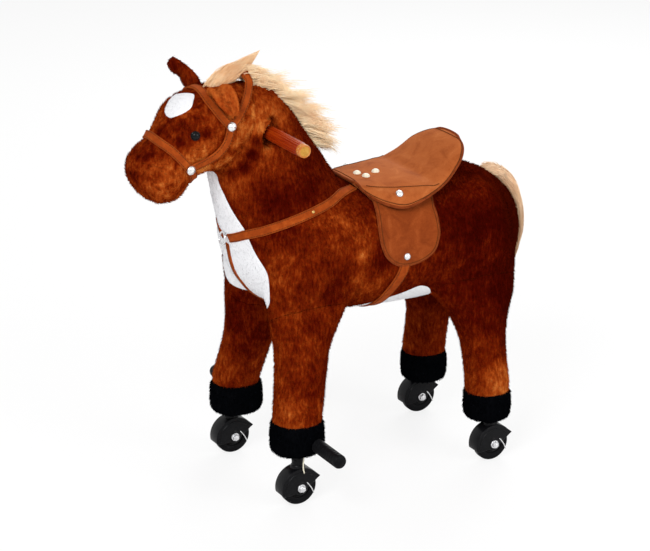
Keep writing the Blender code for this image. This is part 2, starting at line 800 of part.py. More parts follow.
def make_pivot_bolt(name, pivot):
    head_start = LUG_OUTSIDE + GAP
    head_end = head_start + PIVOT_HEAD_HEIGHT
    bolt = piece(name, bar_along_x(pivot, PIVOT_BOLT_RADIUS, -head_end, head_end), bright_steel())
    for side, label in ((1, "left"), (-1, "right")):
        low, high = sorted((side * head_start, side * head_end))
        head = bar_along_x(pivot, PIVOT_HEAD_RADIUS, low, high, 6)
        combine(bolt, guide(f"{name}_head_{label}", head), "UNION")
    return bolt


def make_return_spring(name, pivot):
    """The wound torsion spring round the hub, as one sleeve inside the stuffing."""
    inner, outer = HUB_RADIUS + GAP, HUB_RADIUS + GAP + SPRING_WIRE
    start, end = SPRING_START_X - SPRING_LENGTH / 2, SPRING_START_X + SPRING_LENGTH / 2
    profile = ((start, inner), (end, inner), (end, outer), (start, outer))
    return piece(name, turned_shape(profile, pivot, 16), frame_steel())


def link_ends():
    x = CRANK_X + CRANK_WALL + GAP
    front = SHOULDER + UP * CRANK_REACH + RIGHT * x
    rear = HIP - UP * CRANK_REACH + RIGHT * x
    return front, rear


def link_shape(grow):
    front, rear = link_ends()
    along = (rear - front).normalized()
    across = RIGHT.cross(along)
    half = LINK_HEIGHT / 2 + grow
    corners = (front + across * half, front - across * half, rear - across * half, rear + across * half)
    low = [point - RIGHT * grow for point in corners]
    high = [point + RIGHT * (LINK_WALL + grow) for point in corners]
    return shape_from_rings((low, high))


def make_coupling_link():
    front, rear = link_ends()
    link = piece("coupling_link", link_shape(0), frame_steel(), smooth=False)
    for label, centre, play in (("front", front, GAP), ("rear", rear, LINK_OPEN_PLAY)):
        eye = bar_along_x(centre, LINK_EYE_RADIUS, 0, LINK_WALL)
        combine(link, guide(f"link_eye_{label}", eye), "UNION")
        bore = bar_along_x(centre, CRANK_PIN_RADIUS + play, -LINK_WALL, 2 * LINK_WALL)
        combine(link, guide(f"link_bore_{label}", bore))
    return link


def board_ends(grow=0.0):
    start = SHOULDER.y + BOARD_START
    low = (-BOARD_WIDTH / 2 - grow, start - grow, FRAME_TOP + GAP - grow)
    high = (BOARD_WIDTH / 2 + grow, start + BOARD_LENGTH + grow, FRAME_TOP + GAP + BOARD_THICKNESS + grow)
    return low, high


def make_saddle_board():
    wood = finish("plywood", (0.50, 0.33, 0.17), 0.7)
    return piece("saddle_board", box_shape(*board_ends()), wood, smooth=False)


# Handlebar and pegs


def fluted_rings(start, end):
    """Rings of a fluted grip, from one point to another along X."""
    rings = []
    for place in (start, end):
        ring = []
        for i in range(2 * FLUTES):
            angle = math.tau * i / (2 * FLUTES)
            radius = GRIP_RADIUS - (FLUTE_DEPTH if i % 2 else 0)
            ring.append(place + BACK * math.cos(angle) * radius + UP * math.sin(angle) * radius)
        rings.append(ring)
    return rings


def make_handlebar():
    bar = bar_along_x(HANDLE, HANDLE_RADIUS, -HANDLE_HALF_SPAN, HANDLE_HALF_SPAN)
    bar = piece("handle_bar", bar, frame_steel())
    made = [bar]
    for side, label in ((1, "left"), (-1, "right")):
        start, end = HANDLE + RIGHT * side * GRIP_START_X, HANDLE + RIGHT * side * HANDLE_HALF_SPAN
        grip = piece(f"grip_{label}", shape_from_rings(fluted_rings(start, end)), red_wood())
        bore = bar_along_x(HANDLE, HANDLE_RADIUS + GAP, -2 * HANDLE_HALF_SPAN, 2 * HANDLE_HALF_SPAN)
        combine(grip, guide(f"grip_bore_{label}", bore))
        face = side * (HANDLE_HALF_SPAN + GAP)
        outer = face + side * CAP_THICKNESS
        low, high = sorted((face, outer))
        cap = piece(f"grip_cap_{label}", bar_along_x(HANDLE, GRIP_RADIUS, low, high, 16), pale_wood())
        low, high = sorted((face - side * CAP_PLUG_LENGTH, outer - side * CAP_THICKNESS / 2))
        plug = guide(f"cap_plug_{label}", bar_along_x(HANDLE, CAP_PLUG_RADIUS, low, high))
        combine(cap, plug, "UNION")
        low, high = sorted((face - side * (CAP_PLUG_LENGTH + GAP), face + side * CAP_THICKNESS))
        hole = bar_along_x(HANDLE, CAP_PLUG_RADIUS + GAP, low, high)
        combine(bar, guide(f"cap_hole_{label}", hole))
        made += [grip, cap]
    return made


def make_peg(side, label):
    start, end = peg_points(side, PEG_START_X, PEG_END_X)
    peg = piece(f"peg_{label}", shape_from_rings(fluted_rings(start, end)), black_rubber())
    bore = pipe_shape(peg_points(side, FOOT_X, PEG_END_X - PEG_CAP), PEG_ROD_RADIUS + GAP, 10)
    return combine(peg, guide(f"peg_bore_{label}", bore))


# Casters


def hood_outline():
    """The hood's side view about the axle, as (backward, upward) from the front lip over
    the top to the rear beak, then back round the axle's lug."""
    points = []
    for step in range(9):
        angle = math.radians(-HOOD_FRONT_ANGLE + (HOOD_FRONT_ANGLE + HOOD_REAR_ANGLE) * step / 8)
        reach = HOOD_RADIUS + (BEAK_REACH if step == 8 else 0)
        points.append((math.sin(angle) * reach, math.cos(angle) * reach))
    inner = HOOD_RADIUS - 2 * HOOD_WALL
    angle = math.radians(HOOD_REAR_ANGLE)
    points.append((math.sin(angle) * inner, math.cos(angle) * inner))
    for degrees in (70, 110, 150, 190, 230):
        angle = math.radians(degrees)
        points.append((math.sin(angle) * CHEEK_LUG_RADIUS, math.cos(angle) * CHEEK_LUG_RADIUS))
    return points


def make_caster(side, foot_y, label):
    axle = Vector((side * FOOT_X, foot_y, WHEEL_RADIUS))
    outline = [(axle.y + back, axle.z + up) for back, up in hood_outline()]
    block = prism_shape(outline, "X", axle.x - CHEEK_OUTSIDE, axle.x + CHEEK_OUTSIDE)
    hood = piece(f"caster_hood_{label}", block, black_plastic())
    stem_foot = axle + UP * (HOOD_INSIDE_RADIUS + HOOD_WALL / 2)
    stem = pipe_shape((stem_foot, Vector((axle.x, axle.y, STEM_TOP))), STEM_RADIUS)
    combine(hood, guide(f"stem_{label}", stem), "UNION")
    pin_top = Vector((axle.x, axle.y, STEM_TOP + STEM_PIN_LENGTH))
    pin = pipe_shape((stem_foot, pin_top), STEM_PIN_RADIUS)
    combine(hood, guide(f"stem_pin_{label}", pin), "UNION")
    pocket = bar_along_x(axle, HOOD_INSIDE_RADIUS, -CHEEK_INSIDE, CHEEK_INSIDE, WHEEL_SIDES)
    combine(hood, guide(f"wheel_pocket_{label}", pocket))
    bore = bar_along_x(axle, AXLE_BOLT_RADIUS + GAP, -2 * CHEEK_OUTSIDE, 2 * CHEEK_OUTSIDE, 10)
    combine(hood, guide(f"hood_bore_{label}", bore))
    pawl, pawl_bore = make_pawl(axle, label)
    combine(hood, pawl_bore)
    return hood, make_wheel(axle, label), make_axle_bolt(axle, label), pawl


def make_wheel(axle, label):
    half = WHEEL_WIDTH / 2
    tread = WHEEL_RADIUS / math.cos(math.pi / WHEEL_SIDES)
    bore = AXLE_BOLT_RADIUS + GAP
    profile = (
        (-half + WHEEL_SHOULDER, tread),
        (half - WHEEL_SHOULDER, tread),
        (half, tread - WHEEL_SHOULDER),
        (half, HUB_RECESS_RADIUS),
        (half - HUB_RECESS_DEPTH, HUB_RECESS_RADIUS),
        (half - HUB_RECESS_DEPTH, bore),
        (-half + HUB_RECESS_DEPTH, bore),
        (-half + HUB_RECESS_DEPTH, HUB_RECESS_RADIUS),
        (-half, HUB_RECESS_RADIUS),
        (-half, tread - WHEEL_SHOULDER),
    )
    return piece(f"wheel_{label}", turned_shape(profile, axle, WHEEL_SIDES), black_rubber())


def make_axle_bolt(axle, label):
    face = CHEEK_OUTSIDE + GAP
    end = face + BOLT_HEAD_HEIGHT
    bolt = piece(f"axle_bolt_{label}", bar_along_x(axle, AXLE_BOLT_RADIUS, -end, end, 10), bright_steel())
    corner = BOLT_HEAD_FLATS / 2 / math.cos(math.pi / 6)
    for low, high, end_name in ((face, end, "head"), (-end, -face, "nut")):
        hexagon = bar_along_x(axle, corner, low, high, 6)
        combine(bolt, guide(f"bolt_{end_name}_{label}", hexagon), "UNION")
    return bolt


def make_pawl(axle, label):
    """The wire lever that lies along the cheek and is bent into a hole in it."""
    lean = math.radians(PAWL_LEAN)
    along = Vector((0, math.sin(lean), -math.cos(lean)))
    top = axle + BACK * PAWL_START_BEHIND + UP * PAWL_START_ABOVE
    out = CHEEK_OUTSIDE + PAWL_WIRE_RADIUS + GAP
    points = (top + RIGHT * CHEEK_INSIDE, top + RIGHT * out, top + RIGHT * out + along * PAWL_LENGTH)
    pawl = piece(f"pawl_{label}", pipe_shape(points, PAWL_WIRE_RADIUS, 6), bright_steel())
    ends = (top + RIGHT * (CHEEK_INSIDE - GAP), top + RIGHT * 2 * CHEEK_OUTSIDE)
    return pawl, guide(f"pawl_bore_{label}", pipe_shape(ends, PAWL_WIRE_RADIUS + GAP, 6))


# Stuffed pieces


def cut_leg_channel(target, name, pivot, foot_y, swing, crank_direction):
    """The hollow in the stuffing for a leg frame and for its swing."""
    tube = LEG_TUBE_RADIUS + SWING_ROOM
    for side, label in ((1, "left"), (-1, "right")):
        start, end, _ = foot_tube_points(side, pivot, foot_y)
        ends = oval(start, RIGHT, BACK, tube, tube, 10) + oval(end, RIGHT, BACK, tube, tube, 10)
        swept = [point for turn in (0, swing / 2, swing) for point in turned_about(ends, pivot, turn)]
        combine(target, guide(f"{name}_slot_{label}", hull_shape(swept)))
    half = LUG_INSIDE + GAP
    around = HUB_RADIUS + SPRING_WIRE + GAP + CHANNEL_GAP
    combine(target, guide(name + "_hub_hollow", bar_along_x(pivot, around, -half, half, 16)))
    crank_ends = []
    for x in (CRANK_X - SWING_ROOM, CRANK_X + CRANK_WALL + CRANK_PIN_LENGTH + SWING_ROOM):
        for reach in (0, CRANK_REACH):
            centre = pivot + UP * crank_direction * reach + RIGHT * x
            size = LINK_EYE_RADIUS + 2 * SWING_ROOM
            crank_ends += oval(centre, BACK, UP, size, size, 12)
    swept = [point for turn in (0, swing) for point in turned_about(crank_ends, pivot, turn)]
    combine(target, guide(name + "_crank_hollow", hull_shape(swept)))
    bolt = LUG_OUTSIDE + PIVOT_HEAD_HEIGHT + GAP + CHANNEL_GAP
    hollow = bar_along_x(pivot, PIVOT_HEAD_RADIUS + CHANNEL_GAP, -bolt, bolt)
    combine(target, guide(name + "_bolt_hollow", hollow))


def cut_frame_channel(target):
    grow = CHANNEL_GAP
    half = FRAME_TUBE / 2 + grow
    low, high = (-half, SHOULDER.y - half, FRAME_LOW - grow), (half, HIP.y + half, FRAME_TOP + grow)
    combine(target, guide("spine_hollow", box_shape(low, high)))
    for label, pivot in (("shoulder", SHOULDER), ("hip", HIP)):
        wall = LUG_HALF + grow
        low = (-LUG_OUTSIDE - grow, pivot.y - wall, CROSS_LOW - grow)
        high = (LUG_OUTSIDE + grow, pivot.y + wall, CROSS_TOP + grow)
        combine(target, guide(label + "_cross_hollow", box_shape(low, high)))
        for side, name in ((1, "left"), (-1, "right")):
            ends = sorted((side * (LUG_INSIDE - grow), side * (LUG_OUTSIDE + grow)))
            low = (ends[0], pivot.y - wall, pivot.z - LUG_REACH - grow)
            high = (ends[1], pivot.y + wall, CROSS_LOW + LUG_WALL)
            combine(target, guide(f"{label}_lug_hollow_{name}", box_shape(low, high)))
    combine(target, guide("link_hollow", link_shape(SWING_ROOM + LINK_OPEN_PLAY)))


def neck_post_hollow():
    half = FRAME_TUBE / 2 + CHANNEL_GAP
    foot = Vector((0, SHOULDER.y, FRAME_TOP - FRAME_TUBE / 2))
    return pipe_shape((foot, HANDLE), half, 12)


def make_body():
    body = piece("body_plush", body_form(), plush())
    swings = (("front", SHOULDER, FRONT_AXLE_Y, -LEG_SWING, front_leg_rings, FRONT_DRUM_RADIUS, 1),
              ("rear", HIP, REAR_AXLE_Y, LEG_SWING, rear_leg_rings, REAR_DRUM_RADIUS, -1))
    for name, pivot, foot_y, swing, rings, drum_radius, crank in swings:
        drum = guide(name + "_inner_drum", bar_along_x(pivot, drum_radius - GAP, -SIDE_REACH, SIDE_REACH, 48))
        thighs = guide(name + "_thighs", both_sides(lambda side: shape_from_rings(rings(side)[3:])))
        combine(thighs, drum, "INTERSECT")
        combine(body, thighs, "UNION")
        for side, label in ((1, "left"), (-1, "right")):
            points = [point for ring in rings(side, GAP)[2:] for point in ring]
            swept = [p for turn in (0, swing / 2, swing * 1.03) for p in turned_about(points, pivot, turn)]
            doorway = guide(f"{name}_doorway_{label}", hull_shape(swept))
            combine(doorway, drum)
            combine(body, doorway)
        cut_leg_channel(body, name, pivot, foot_y, swing, crank)
    cut_frame_channel(body)
    combine(body, guide("body_post_hollow", neck_post_hollow()))
    combine(body, guide("board_recess", box_shape(*board_ends(GAP))))
    return body


def make_neck():
    neck = piece("neck_plush", neck_form(), plush())
    combine(neck, guide("body_grown", body_form(GAP)))
    combine(neck, guide("neck_post_hollow", neck_post_hollow()))
    half = SLEEVE_HALF_WIDTH + CHANNEL_GAP
    sleeve = bar_along_x(HANDLE, SLEEVE_RADIUS + CHANNEL_GAP, -half, half)
    combine(neck, guide("sleeve_hollow", sleeve))
    reach = NECK_WIDTH
    combine(neck, guide("bar_hollow", bar_along_x(HANDLE, HANDLE_RADIUS + GAP, -reach, reach)))
    for side, label in ((1, "left"), (-1, "right")):
        low, high = sorted((side * SLIT_BOTTOM_X, side * reach))
        rings = [oval(HANDLE + RIGHT * x, BACK, UP, SLIT_WIDTH / 2, SLIT_HEIGHT / 2, 12) for x in (low, high)]
        combine(neck, guide(f"handle_slit_{label}", shape_from_rings(rings)))
    return neck


def make_head():
    head = piece("head_plush", head_form(), plush())
    combine(head, guide("neck_grown", neck_form(GAP)))
    made = [head]
    for side, label in ((1, "left"), (-1, "right")):
        centre = head_point(EYE_SHARE, EYE_LIFT) + RIGHT * side * (HEAD_WIDTH / 2 - EYE_RADIUS * 1.05)
        for radius, name in ((EYE_RADIUS, "eye"), (EYE_RADIUS + GAP, "socket")):
            ball = bmesh.new()
            bmesh.ops.create_uvsphere(ball, u_segments=12, v_segments=6, radius=radius)
            bmesh.ops.translate(ball, verts=ball.verts, vec=centre)
            if name == "eye":
                made.append(piece(f"eye_{label}", ball, eye_glass()))
            else:
                combine(head, guide(f"eye_socket_{label}", ball))
    return made


def make_leg(name, rings, drum, points):
    leg = piece(name, shape_from_rings(rings), plush())
    combine(leg, drum)
    tube = pipe_shape(points, LEG_TUBE_RADIUS + GAP)
    return combine(leg, guide(name + "_bore", tube))


def make_cuff(side, axle_y, foot, cuff_heights, depth, label, with_peg):
    rings = []
    bottom, top = cuff_heights
    height = top - bottom
    for share, flare in ((0.0, 0.0), (0.15, 0.8), (0.55, 1.0), (1.0, 0.2)):
        centre = Vector((side * foot[0], foot[1], bottom + height * share))
        half_width = LEG_WIDTH / 2 + CUFF_FLARE * flare
        half_depth = depth / 2 + CUFF_FLARE * flare
        rings.append(oval(centre, RIGHT, BACK, half_width, half_depth, LEG_SIDES, 2.1))
    cuff = piece(f"hoof_{label}", shape_from_rings(rings), black_plush())
    low = Vector((side * FOOT_X, axle_y, bottom - height / 2))
    bore = pipe_shape((low, low + UP * 2 * height), LEG_TUBE_RADIUS + GAP)
    combine(cuff, guide(f"cuff_bore_{label}", bore))
    if with_peg:
        rod_room = PEG_ROD_RADIUS + GAP
        rod = pipe_shape(peg_points(side, FOOT_X - LEG_TUBE_RADIUS / 2, PEG_START_X + GAP), rod_room, 10)
        combine(cuff, guide(f"cuff_rod_bore_{label}", rod))
        sleeve = pipe_shape(peg_points(side, PEG_START_X - 4 * GAP, PEG_END_X), GRIP_RADIUS + 2 * GAP, 24)
        combine(cuff, guide(f"cuff_peg_bore_{label}", sleeve))
    return cuff


def make_legs():
    made = {"front": [], "rear": []}
    front = (SHOULDER, FRONT_AXLE_Y, FRONT_FOOT, FRONT_CUFF, FRONT_LEG_DEPTH, FRONT_DRUM_RADIUS)
    rear = (HIP, REAR_AXLE_Y, REAR_FOOT, REAR_CUFF, REAR_LEG_DEPTH, REAR_DRUM_RADIUS)
    for name, sizes, rings in (("front", front, front_leg_rings), ("rear", rear, rear_leg_rings)):
        pivot, axle_y, foot, cuff_heights, depth, drum_radius = sizes
        drum = guide(name + "_drum", bar_along_x(pivot, drum_radius, -SIDE_REACH, SIDE_REACH, 48))
        for side, label in ((1, "left"), (-1, "right")):
            points = foot_tube_points(side, pivot, axle_y)
            leg = make_leg(f"leg_{name}_{label}", rings(side), drum, points)
            cuff = make_cuff(side, axle_y, foot, cuff_heights, depth, f"{name}_{label}", name == "front")
            made[name] += [leg, cuff]
    return made


def tapered_shape(points, sizes, across, sides=12):
    """A soft form along points, with a half width and half thickness at each."""
    points = [Vector(point) for point in points]
    rings = []
    for i, (point, (half_width, half_thick)) in enumerate(zip(points, sizes)):
        before, after = points[max(i - 1, 0)], points[min(i + 1, len(points) - 1)]
        along = (after - before).normalized()
        wide = (across - along * across.dot(along)).normalized()
        rings.append(oval(point, wide, along.cross(wide), half_width, half_thick, sides))
    return shape_from_rings(rings)


def make_ears(bridle_room):
    """The right ear curls up and forward. The left one is folded down on the cheek."""
    half, thick = EAR_WIDTH / 2, EAR_THICKNESS / 2
    root = head_point(0.16, HEAD_DEPTH * 0.36) + RIGHT * HEAD_WIDTH * -0.377
    steps = ((0.14, 0.06, -0.20, 0.50, 0.7), (-0.06, -0.12, 0.24, 0.85, 1.0),
             (-0.12, -0.32, 0.42, 0.90, 1.0), (-0.18, -0.56, 0.54, 0.75, 0.9),
             (-0.24, -0.76, 0.72, 0.40, 0.5))
    points = [root + Vector((x, y, z)) * EAR_REACH for x, y, z, _, _ in steps]
    sizes = [(half * wide, thick * deep) for _, _, _, wide, deep in steps]
    right = piece("ear_right", tapered_shape(points, sizes, RIGHT), plush())
    root = head_point(0.18, HEAD_DEPTH * 0.40) + RIGHT * HEAD_WIDTH * 0.34
    steps = ((-0.24, -0.06, -0.04, 0.50, 0.5), (0.00, 0.00, 0.18, 0.55, 0.6),
             (0.22, 0.08, 0.04, 0.85, 0.7),
             (0.38, 0.16, -0.24, 1.00, 0.7), (0.46, 0.26, -0.50, 0.75, 0.6),
             (0.46, 0.32, -0.66, 0.35, 0.3))
    points = [root + Vector((x, y, z)) * EAR_REACH for x, y, z, _, _ in steps]
    sizes = [(half * wide, thick * deep) for _, _, _, wide, deep in steps]
    left = piece("ear_left", tapered_shape(points, sizes, BACK), plush())
    for ear in (right, left):
        combine(ear, guide(ear.name + "_head", head_form(GAP)))
        combine(ear, guide(ear.name + "_neck", neck_form(GAP)))
        combine(ear, bridle_room)
    return right, left


def make_hair(bridle_room):
    half, high = MANE_WIDTH / 2, MANE_HEIGHT / 2
    steps = ((0.33, 0.50, 0.50, 0.30), (0.42, 0.90, 0.85, 0.80), (0.56, 0.75, 1.00, 1.00),
             (0.72, 0.50, 1.00, 1.00), (0.88, 0.40, 0.90, 0.85), (1.00, 0.20, 0.50, 0.45))
    points = [crest_point(share, out * high) for share, out, _, _ in steps]
    sizes = [(half * wide, high * thick) for _, _, wide, thick in steps]
    mane = piece("mane", tapered_shape(points, sizes, RIGHT), blonde_pile())
    root = head_point(0.19, HEAD_DEPTH * 0.40)
    half = FORELOCK_WIDTH / 2
    steps = ((0.00, 0.00, 0.6, 0.5), (0.20, 0.16, 1.0, 0.8), (0.50, 0.32, 0.9, 0.7), (0.80, 0.42, 0.5, 0.45),
             (1.00, 0.47, 0.15, 0.15))
    points = [root + Vector((0, FORELOCK_LENGTH * back, FORELOCK_LENGTH * up)) for back, up, _, _ in steps]
    sizes = [(half * wide, half * 0.8 * thick) for _, _, wide, thick in steps]
    forelock = piece("forelock", tapered_shape(points, sizes, RIGHT), blonde_pile())
    for hair in (mane, forelock):
        combine(hair, guide(hair.name + "_neck", neck_form(GAP)))
        combine(hair, guide(hair.name + "_head", head_form(GAP)))
        combine(hair, bridle_room)
    return mane, forelock


def make_tail():
    half, thick = TAIL_WIDTH / 2, TAIL_THICKNESS / 2
    top = Vector((0, RUMP_Y - TAIL_ROOT_AHEAD, BODY_HIGH - TAIL_ROOT_BELOW))
    steps = ((0.00, 0.00, 0.5, 0.6), (0.48, 0.05, 0.9, 1.1), (0.86, 0.20, 1.0, 1.0),
             (0.92, 0.42, 1.0, 0.9), (0.84, 0.66, 0.9, 0.8), (0.72, 0.86, 0.6, 0.6),
             (0.64, 1.00, 0.2, 0.3))
    points = [top + BACK * TAIL_REACH * back - UP * TAIL_LENGTH * down for back, down, _, _ in steps]
    sizes = [(half * wide, thick * deep) for _, _, wide, deep in steps]
    tail = piece("tail", tapered_shape(points, sizes, RIGHT), blonde_pile())
    return combine(tail, guide("tail_body", body_form(GAP)))


# Saddle, straps and bridle, all laid on the stuffed forms


def on_body(outline):
    """A side view in metres, from shares of the body's length and height."""
    height = BODY_HIGH - BODY_LOW
    return [(CHEST_Y + (RUMP_Y - CHEST_Y) * back, BODY_LOW + height * up) for back, up in outline]


def on_front(half_outline):
    """A whole front view in metres, from one half in shares of the half width and height."""
    half = [(BODY_WIDTH / 2 * out, BODY_LOW + (BODY_HIGH - BODY_LOW) * up) for out, up in half_outline]
    return half + [(-x, z) for x, z in half[::-1] if x > GAP]


def on_head(path):
    """A side view in metres, from shares of the head's length and half depth."""
    places = [head_point(share, lift * HEAD_DEPTH / 2) for share, lift in path]
    return [(place.y, place.z) for place in places]


def grown_outline(outline, reach):
    """A closed side view, grown outward all round."""
    points = [Vector((0, back, height)) for back, height in outline]
    area = sum(a.y * b.z - b.y * a.z for a, b in zip(points, points[1:] + points[:1]))
    turn = math.copysign(1, area)
    grown = []
    for i, point in enumerate(points):
        before = (point - points[i - 1]).normalized()
        after = (points[(i + 1) % len(points)] - point).normalized()
        mitre = (before + after).normalized().cross(RIGHT) * turn
        moved = point + mitre * (reach / mitre.dot(before.cross(RIGHT) * turn))
        grown.append((moved.y, moved.z))
    return grown


def strap_prism(path, width, low, high):
    """A band of one width along a path in the side view, extruded along X."""
    places = [Vector((0, back, height)) for back, height in path]
    steps = [(b - a).normalized() for a, b in zip(places, places[1:])]
    left, right = [], []
    for i, place in enumerate(places):
        before, after = steps[max(i - 1, 0)], steps[min(i, len(steps) - 1)]
        mitre = RIGHT.cross((before + after).normalized())
        reach = width / 2 / mitre.dot(RIGHT.cross(before))
        left.append(place + mitre * reach)
        right.append(place - mitre * reach)
    return prism_shape([(corner.y, corner.z) for corner in left + right[::-1]], "X", low, high)


def laid_on(name, forms, lift, thickness, region, material):
    """A sheet piece that follows the stuffed forms, within a region."""
    sheet = piece(name, forms[0](lift + thickness), material)
    for i, form in enumerate(forms[1:]):
        combine(sheet, guide(f"{name}_outer_{i}", form(lift + thickness)), "UNION")
    combine(sheet, region, "INTERSECT")
    for i, form in enumerate(forms):
        combine(sheet, guide(f"{name}_inner_{i}", form(lift)))
    return sheet


def make_bib():
    region = prism_shape(on_front(BIB_OUTLINE), "Y", CHEST_Y - CHEST_REACH, SHOULDER.y - BIB_END)
    region = guide("bib_region", region)
    bib = laid_on("chest_bib", (body_form, neck_form), GAP, BIB_THICKNESS, region, white_plush())
    for side, label in ((1, "left"), (-1, "right")):
        combine(bib, guide(f"bib_thigh_{label}", shape_from_rings(front_leg_rings(side, GAP)[3:])))
    return bib


def chest_ring_shape(lift, height, grow=0.0):
    """The ring that lies in the strap ends, over the middle of the chest."""
    wire = RING_WIRE + grow
    centre = Vector((0, CHEST_Y - lift - STRAP_THICKNESS - RING_WIRE + RING_SINK, height))
    shape = bmesh.new()
    rows = []
    for i in range(RING_SIDES):
        angle = math.tau * i / RING_SIDES
        spoke = RIGHT * math.cos(angle) + UP * math.sin(angle)
        ring = oval(centre + spoke * RING_RADIUS, spoke, BACK, wire, wire, 6)
        rows.append([shape.verts.new(point) for point in ring])
    for first, second in zip(rows, rows[1:] + rows[:1]):
        for i in range(6):
            shape.faces.new((first[i], first[(i + 1) % 6], second[(i + 1) % 6], second[i]))
    bmesh.ops.recalc_face_normals(shape, faces=shape.faces)
    return shape


def make_chest_straps():
    """The two breast straps, their ring and the strap that runs down from it to the girth."""
    lift = 2 * GAP + BIB_THICKNESS
    ring_height = BODY_LOW + (BODY_HIGH - BODY_LOW) * BREAST_RING_SHARE
    ring_room = guide("ring_room", chest_ring_shape(lift, ring_height, GAP * 1.2))
    forms = (body_form, neck_form)
    for side, label in ((1, "left"), (-1, "right")):
        span = sorted((side * RING_RADIUS * 0.72, side * BODY_WIDTH))
        region = guide(f"breast_region_{label}", strap_prism(on_body(BREAST_PATH), STRAP_WIDTH, *span))
        strap = laid_on(f"breast_strap_{label}", forms, lift, STRAP_THICKNESS, region, brown_strap())
        combine(strap, ring_room)
    half = CHEST_STRAP_WIDTH / 2
    low = (-half, CHEST_Y - CHEST_REACH, BODY_LOW - CHEST_REACH)
    high = (half, SHOULDER.y + CHEST_STRAP_END, ring_height)
    region = guide("chest_strap_region", box_shape(low, high))
    inside = (-half * 2, SHOULDER.y - CHEST_REACH / 2, (BODY_LOW + BODY_HIGH) / 2)
    above = guide("chest_strap_top", box_shape(inside, (half * 2, HIP.y, BODY_HIGH)))
    strap = laid_on("chest_strap", forms, lift, STRAP_THICKNESS, region, brown_strap())
    combine(strap, above)
    combine(strap, ring_room)
    return piece("chest_ring", chest_ring_shape(lift, ring_height), bright_steel())


def make_bridle():
    """The noseband, the cheek straps with the crown strap, and the browband, as one."""
    def bands(name, width):
        regions = []
        for label, path in (("cheek", CHEEK_PATH), ("nose", NOSEBAND_PATH), ("brow", BROWBAND_PATH)):
            band = strap_prism(on_head(path), width, -HEAD_WIDTH, HEAD_WIDTH)
            regions.append(guide(f"{name}_{label}", band))
        combine(regions[0], regions[1], "UNION")
        return combine(regions[0], regions[2], "UNION")

    forms = (head_form, neck_form)
    laid_on("bridle", forms, GAP, STRAP_THICKNESS, bands("bridle_bands", STRAP_WIDTH), brown_strap())
    room = guide("bridle_room", head_form(2 * GAP + STRAP_THICKNESS))
    combine(room, guide("bridle_room_neck", neck_form(2 * GAP + STRAP_THICKNESS)), "UNION")
    return combine(room, bands("bridle_room_bands", STRAP_WIDTH + 2 * GAP), "INTERSECT")


def pad_form():
    """The saddle pad's outside: crowned over the back, drawn in towards its edges, and with
    a sewn channel along each side."""
    outline = on_body(SEAT_OUTLINE)
    start, end = min(y for y, _ in outline), max(y for y, _ in outline)
    low, high = min(z for _, z in outline), BODY_HIGH
    rings = []
    for step in range(PAD_STATIONS + 1):
        share = step / PAD_STATIONS
        y = start + (end - start) * share
        drawn_in = 1 - abs(2 * share - 1) ** 3
        ring = []
        for i, point in enumerate(body_ring(y)):
            rise = min(max((point.z - low) / (high - low), 0), 1)
            thick = SEAT_EDGE + (SEAT_THICKNESS - SEAT_EDGE) * drawn_in * rise ** 0.35
            if i in PAD_CHANNELS:
                thick -= CHANNEL_DEPTH
            middle = Vector((0, y, (BODY_LOW + BODY_HIGH) / 2))
            ring.append(point + (point - middle).normalized() * (thick + GAP))
        rings.append(ring)
    return shape_from_rings(rings)


def make_saddle():
    seat = piece("saddle_seat", pad_form(), tan_suede())
    region = guide("seat_region", prism_shape(on_body(SEAT_OUTLINE), "X", -BODY_WIDTH, BODY_WIDTH))
    combine(seat, region, "INTERSECT")
    cantle = guide("cantle", prism_shape(on_body(CANTLE_OUTLINE), "X", -BODY_WIDTH, BODY_WIDTH))
    front = prism_shape(on_front(CANTLE_FRONT_VIEW), "Y", SHOULDER.y, RUMP_Y)
    combine(cantle, guide("cantle_front_view", front), "INTERSECT")
    combine(seat, cantle, "UNION")
    combine(seat, guide("seat_body", body_form(GAP)))
    for side, label in ((1, "left"), (-1, "right")):
        span = sorted((side * BODY_WIDTH / 6, side * BODY_WIDTH))
        region = guide(f"flap_region_{label}", prism_shape(on_body(FLAP_OUTLINE), "X", *span))
        flap = laid_on(f"saddle_flap_{label}", (body_form,), GAP, FLAP_THICKNESS, region, tan_suede())
        for part_name, outline in (("seat", SEAT_OUTLINE), ("cantle", CANTLE_OUTLINE)):
            above = prism_shape(grown_outline(on_body(outline), GAP), "X", -BODY_WIDTH, BODY_WIDTH)
            combine(flap, guide(f"flap_{part_name}_{label}", above))
    return seat


def make_girth():
    region = guide("girth_region", strap_prism(on_body(GIRTH_PATH), GIRTH_WIDTH, -BODY_WIDTH, BODY_WIDTH))
    girth = laid_on("girth_strap", (body_form,), GAP, STRAP_THICKNESS, region, brown_strap())
    flaps = prism_shape(grown_outline(on_body(FLAP_OUTLINE), GAP), "X", -BODY_WIDTH, BODY_WIDTH)
    return combine(girth, guide("girth_flaps", flaps))


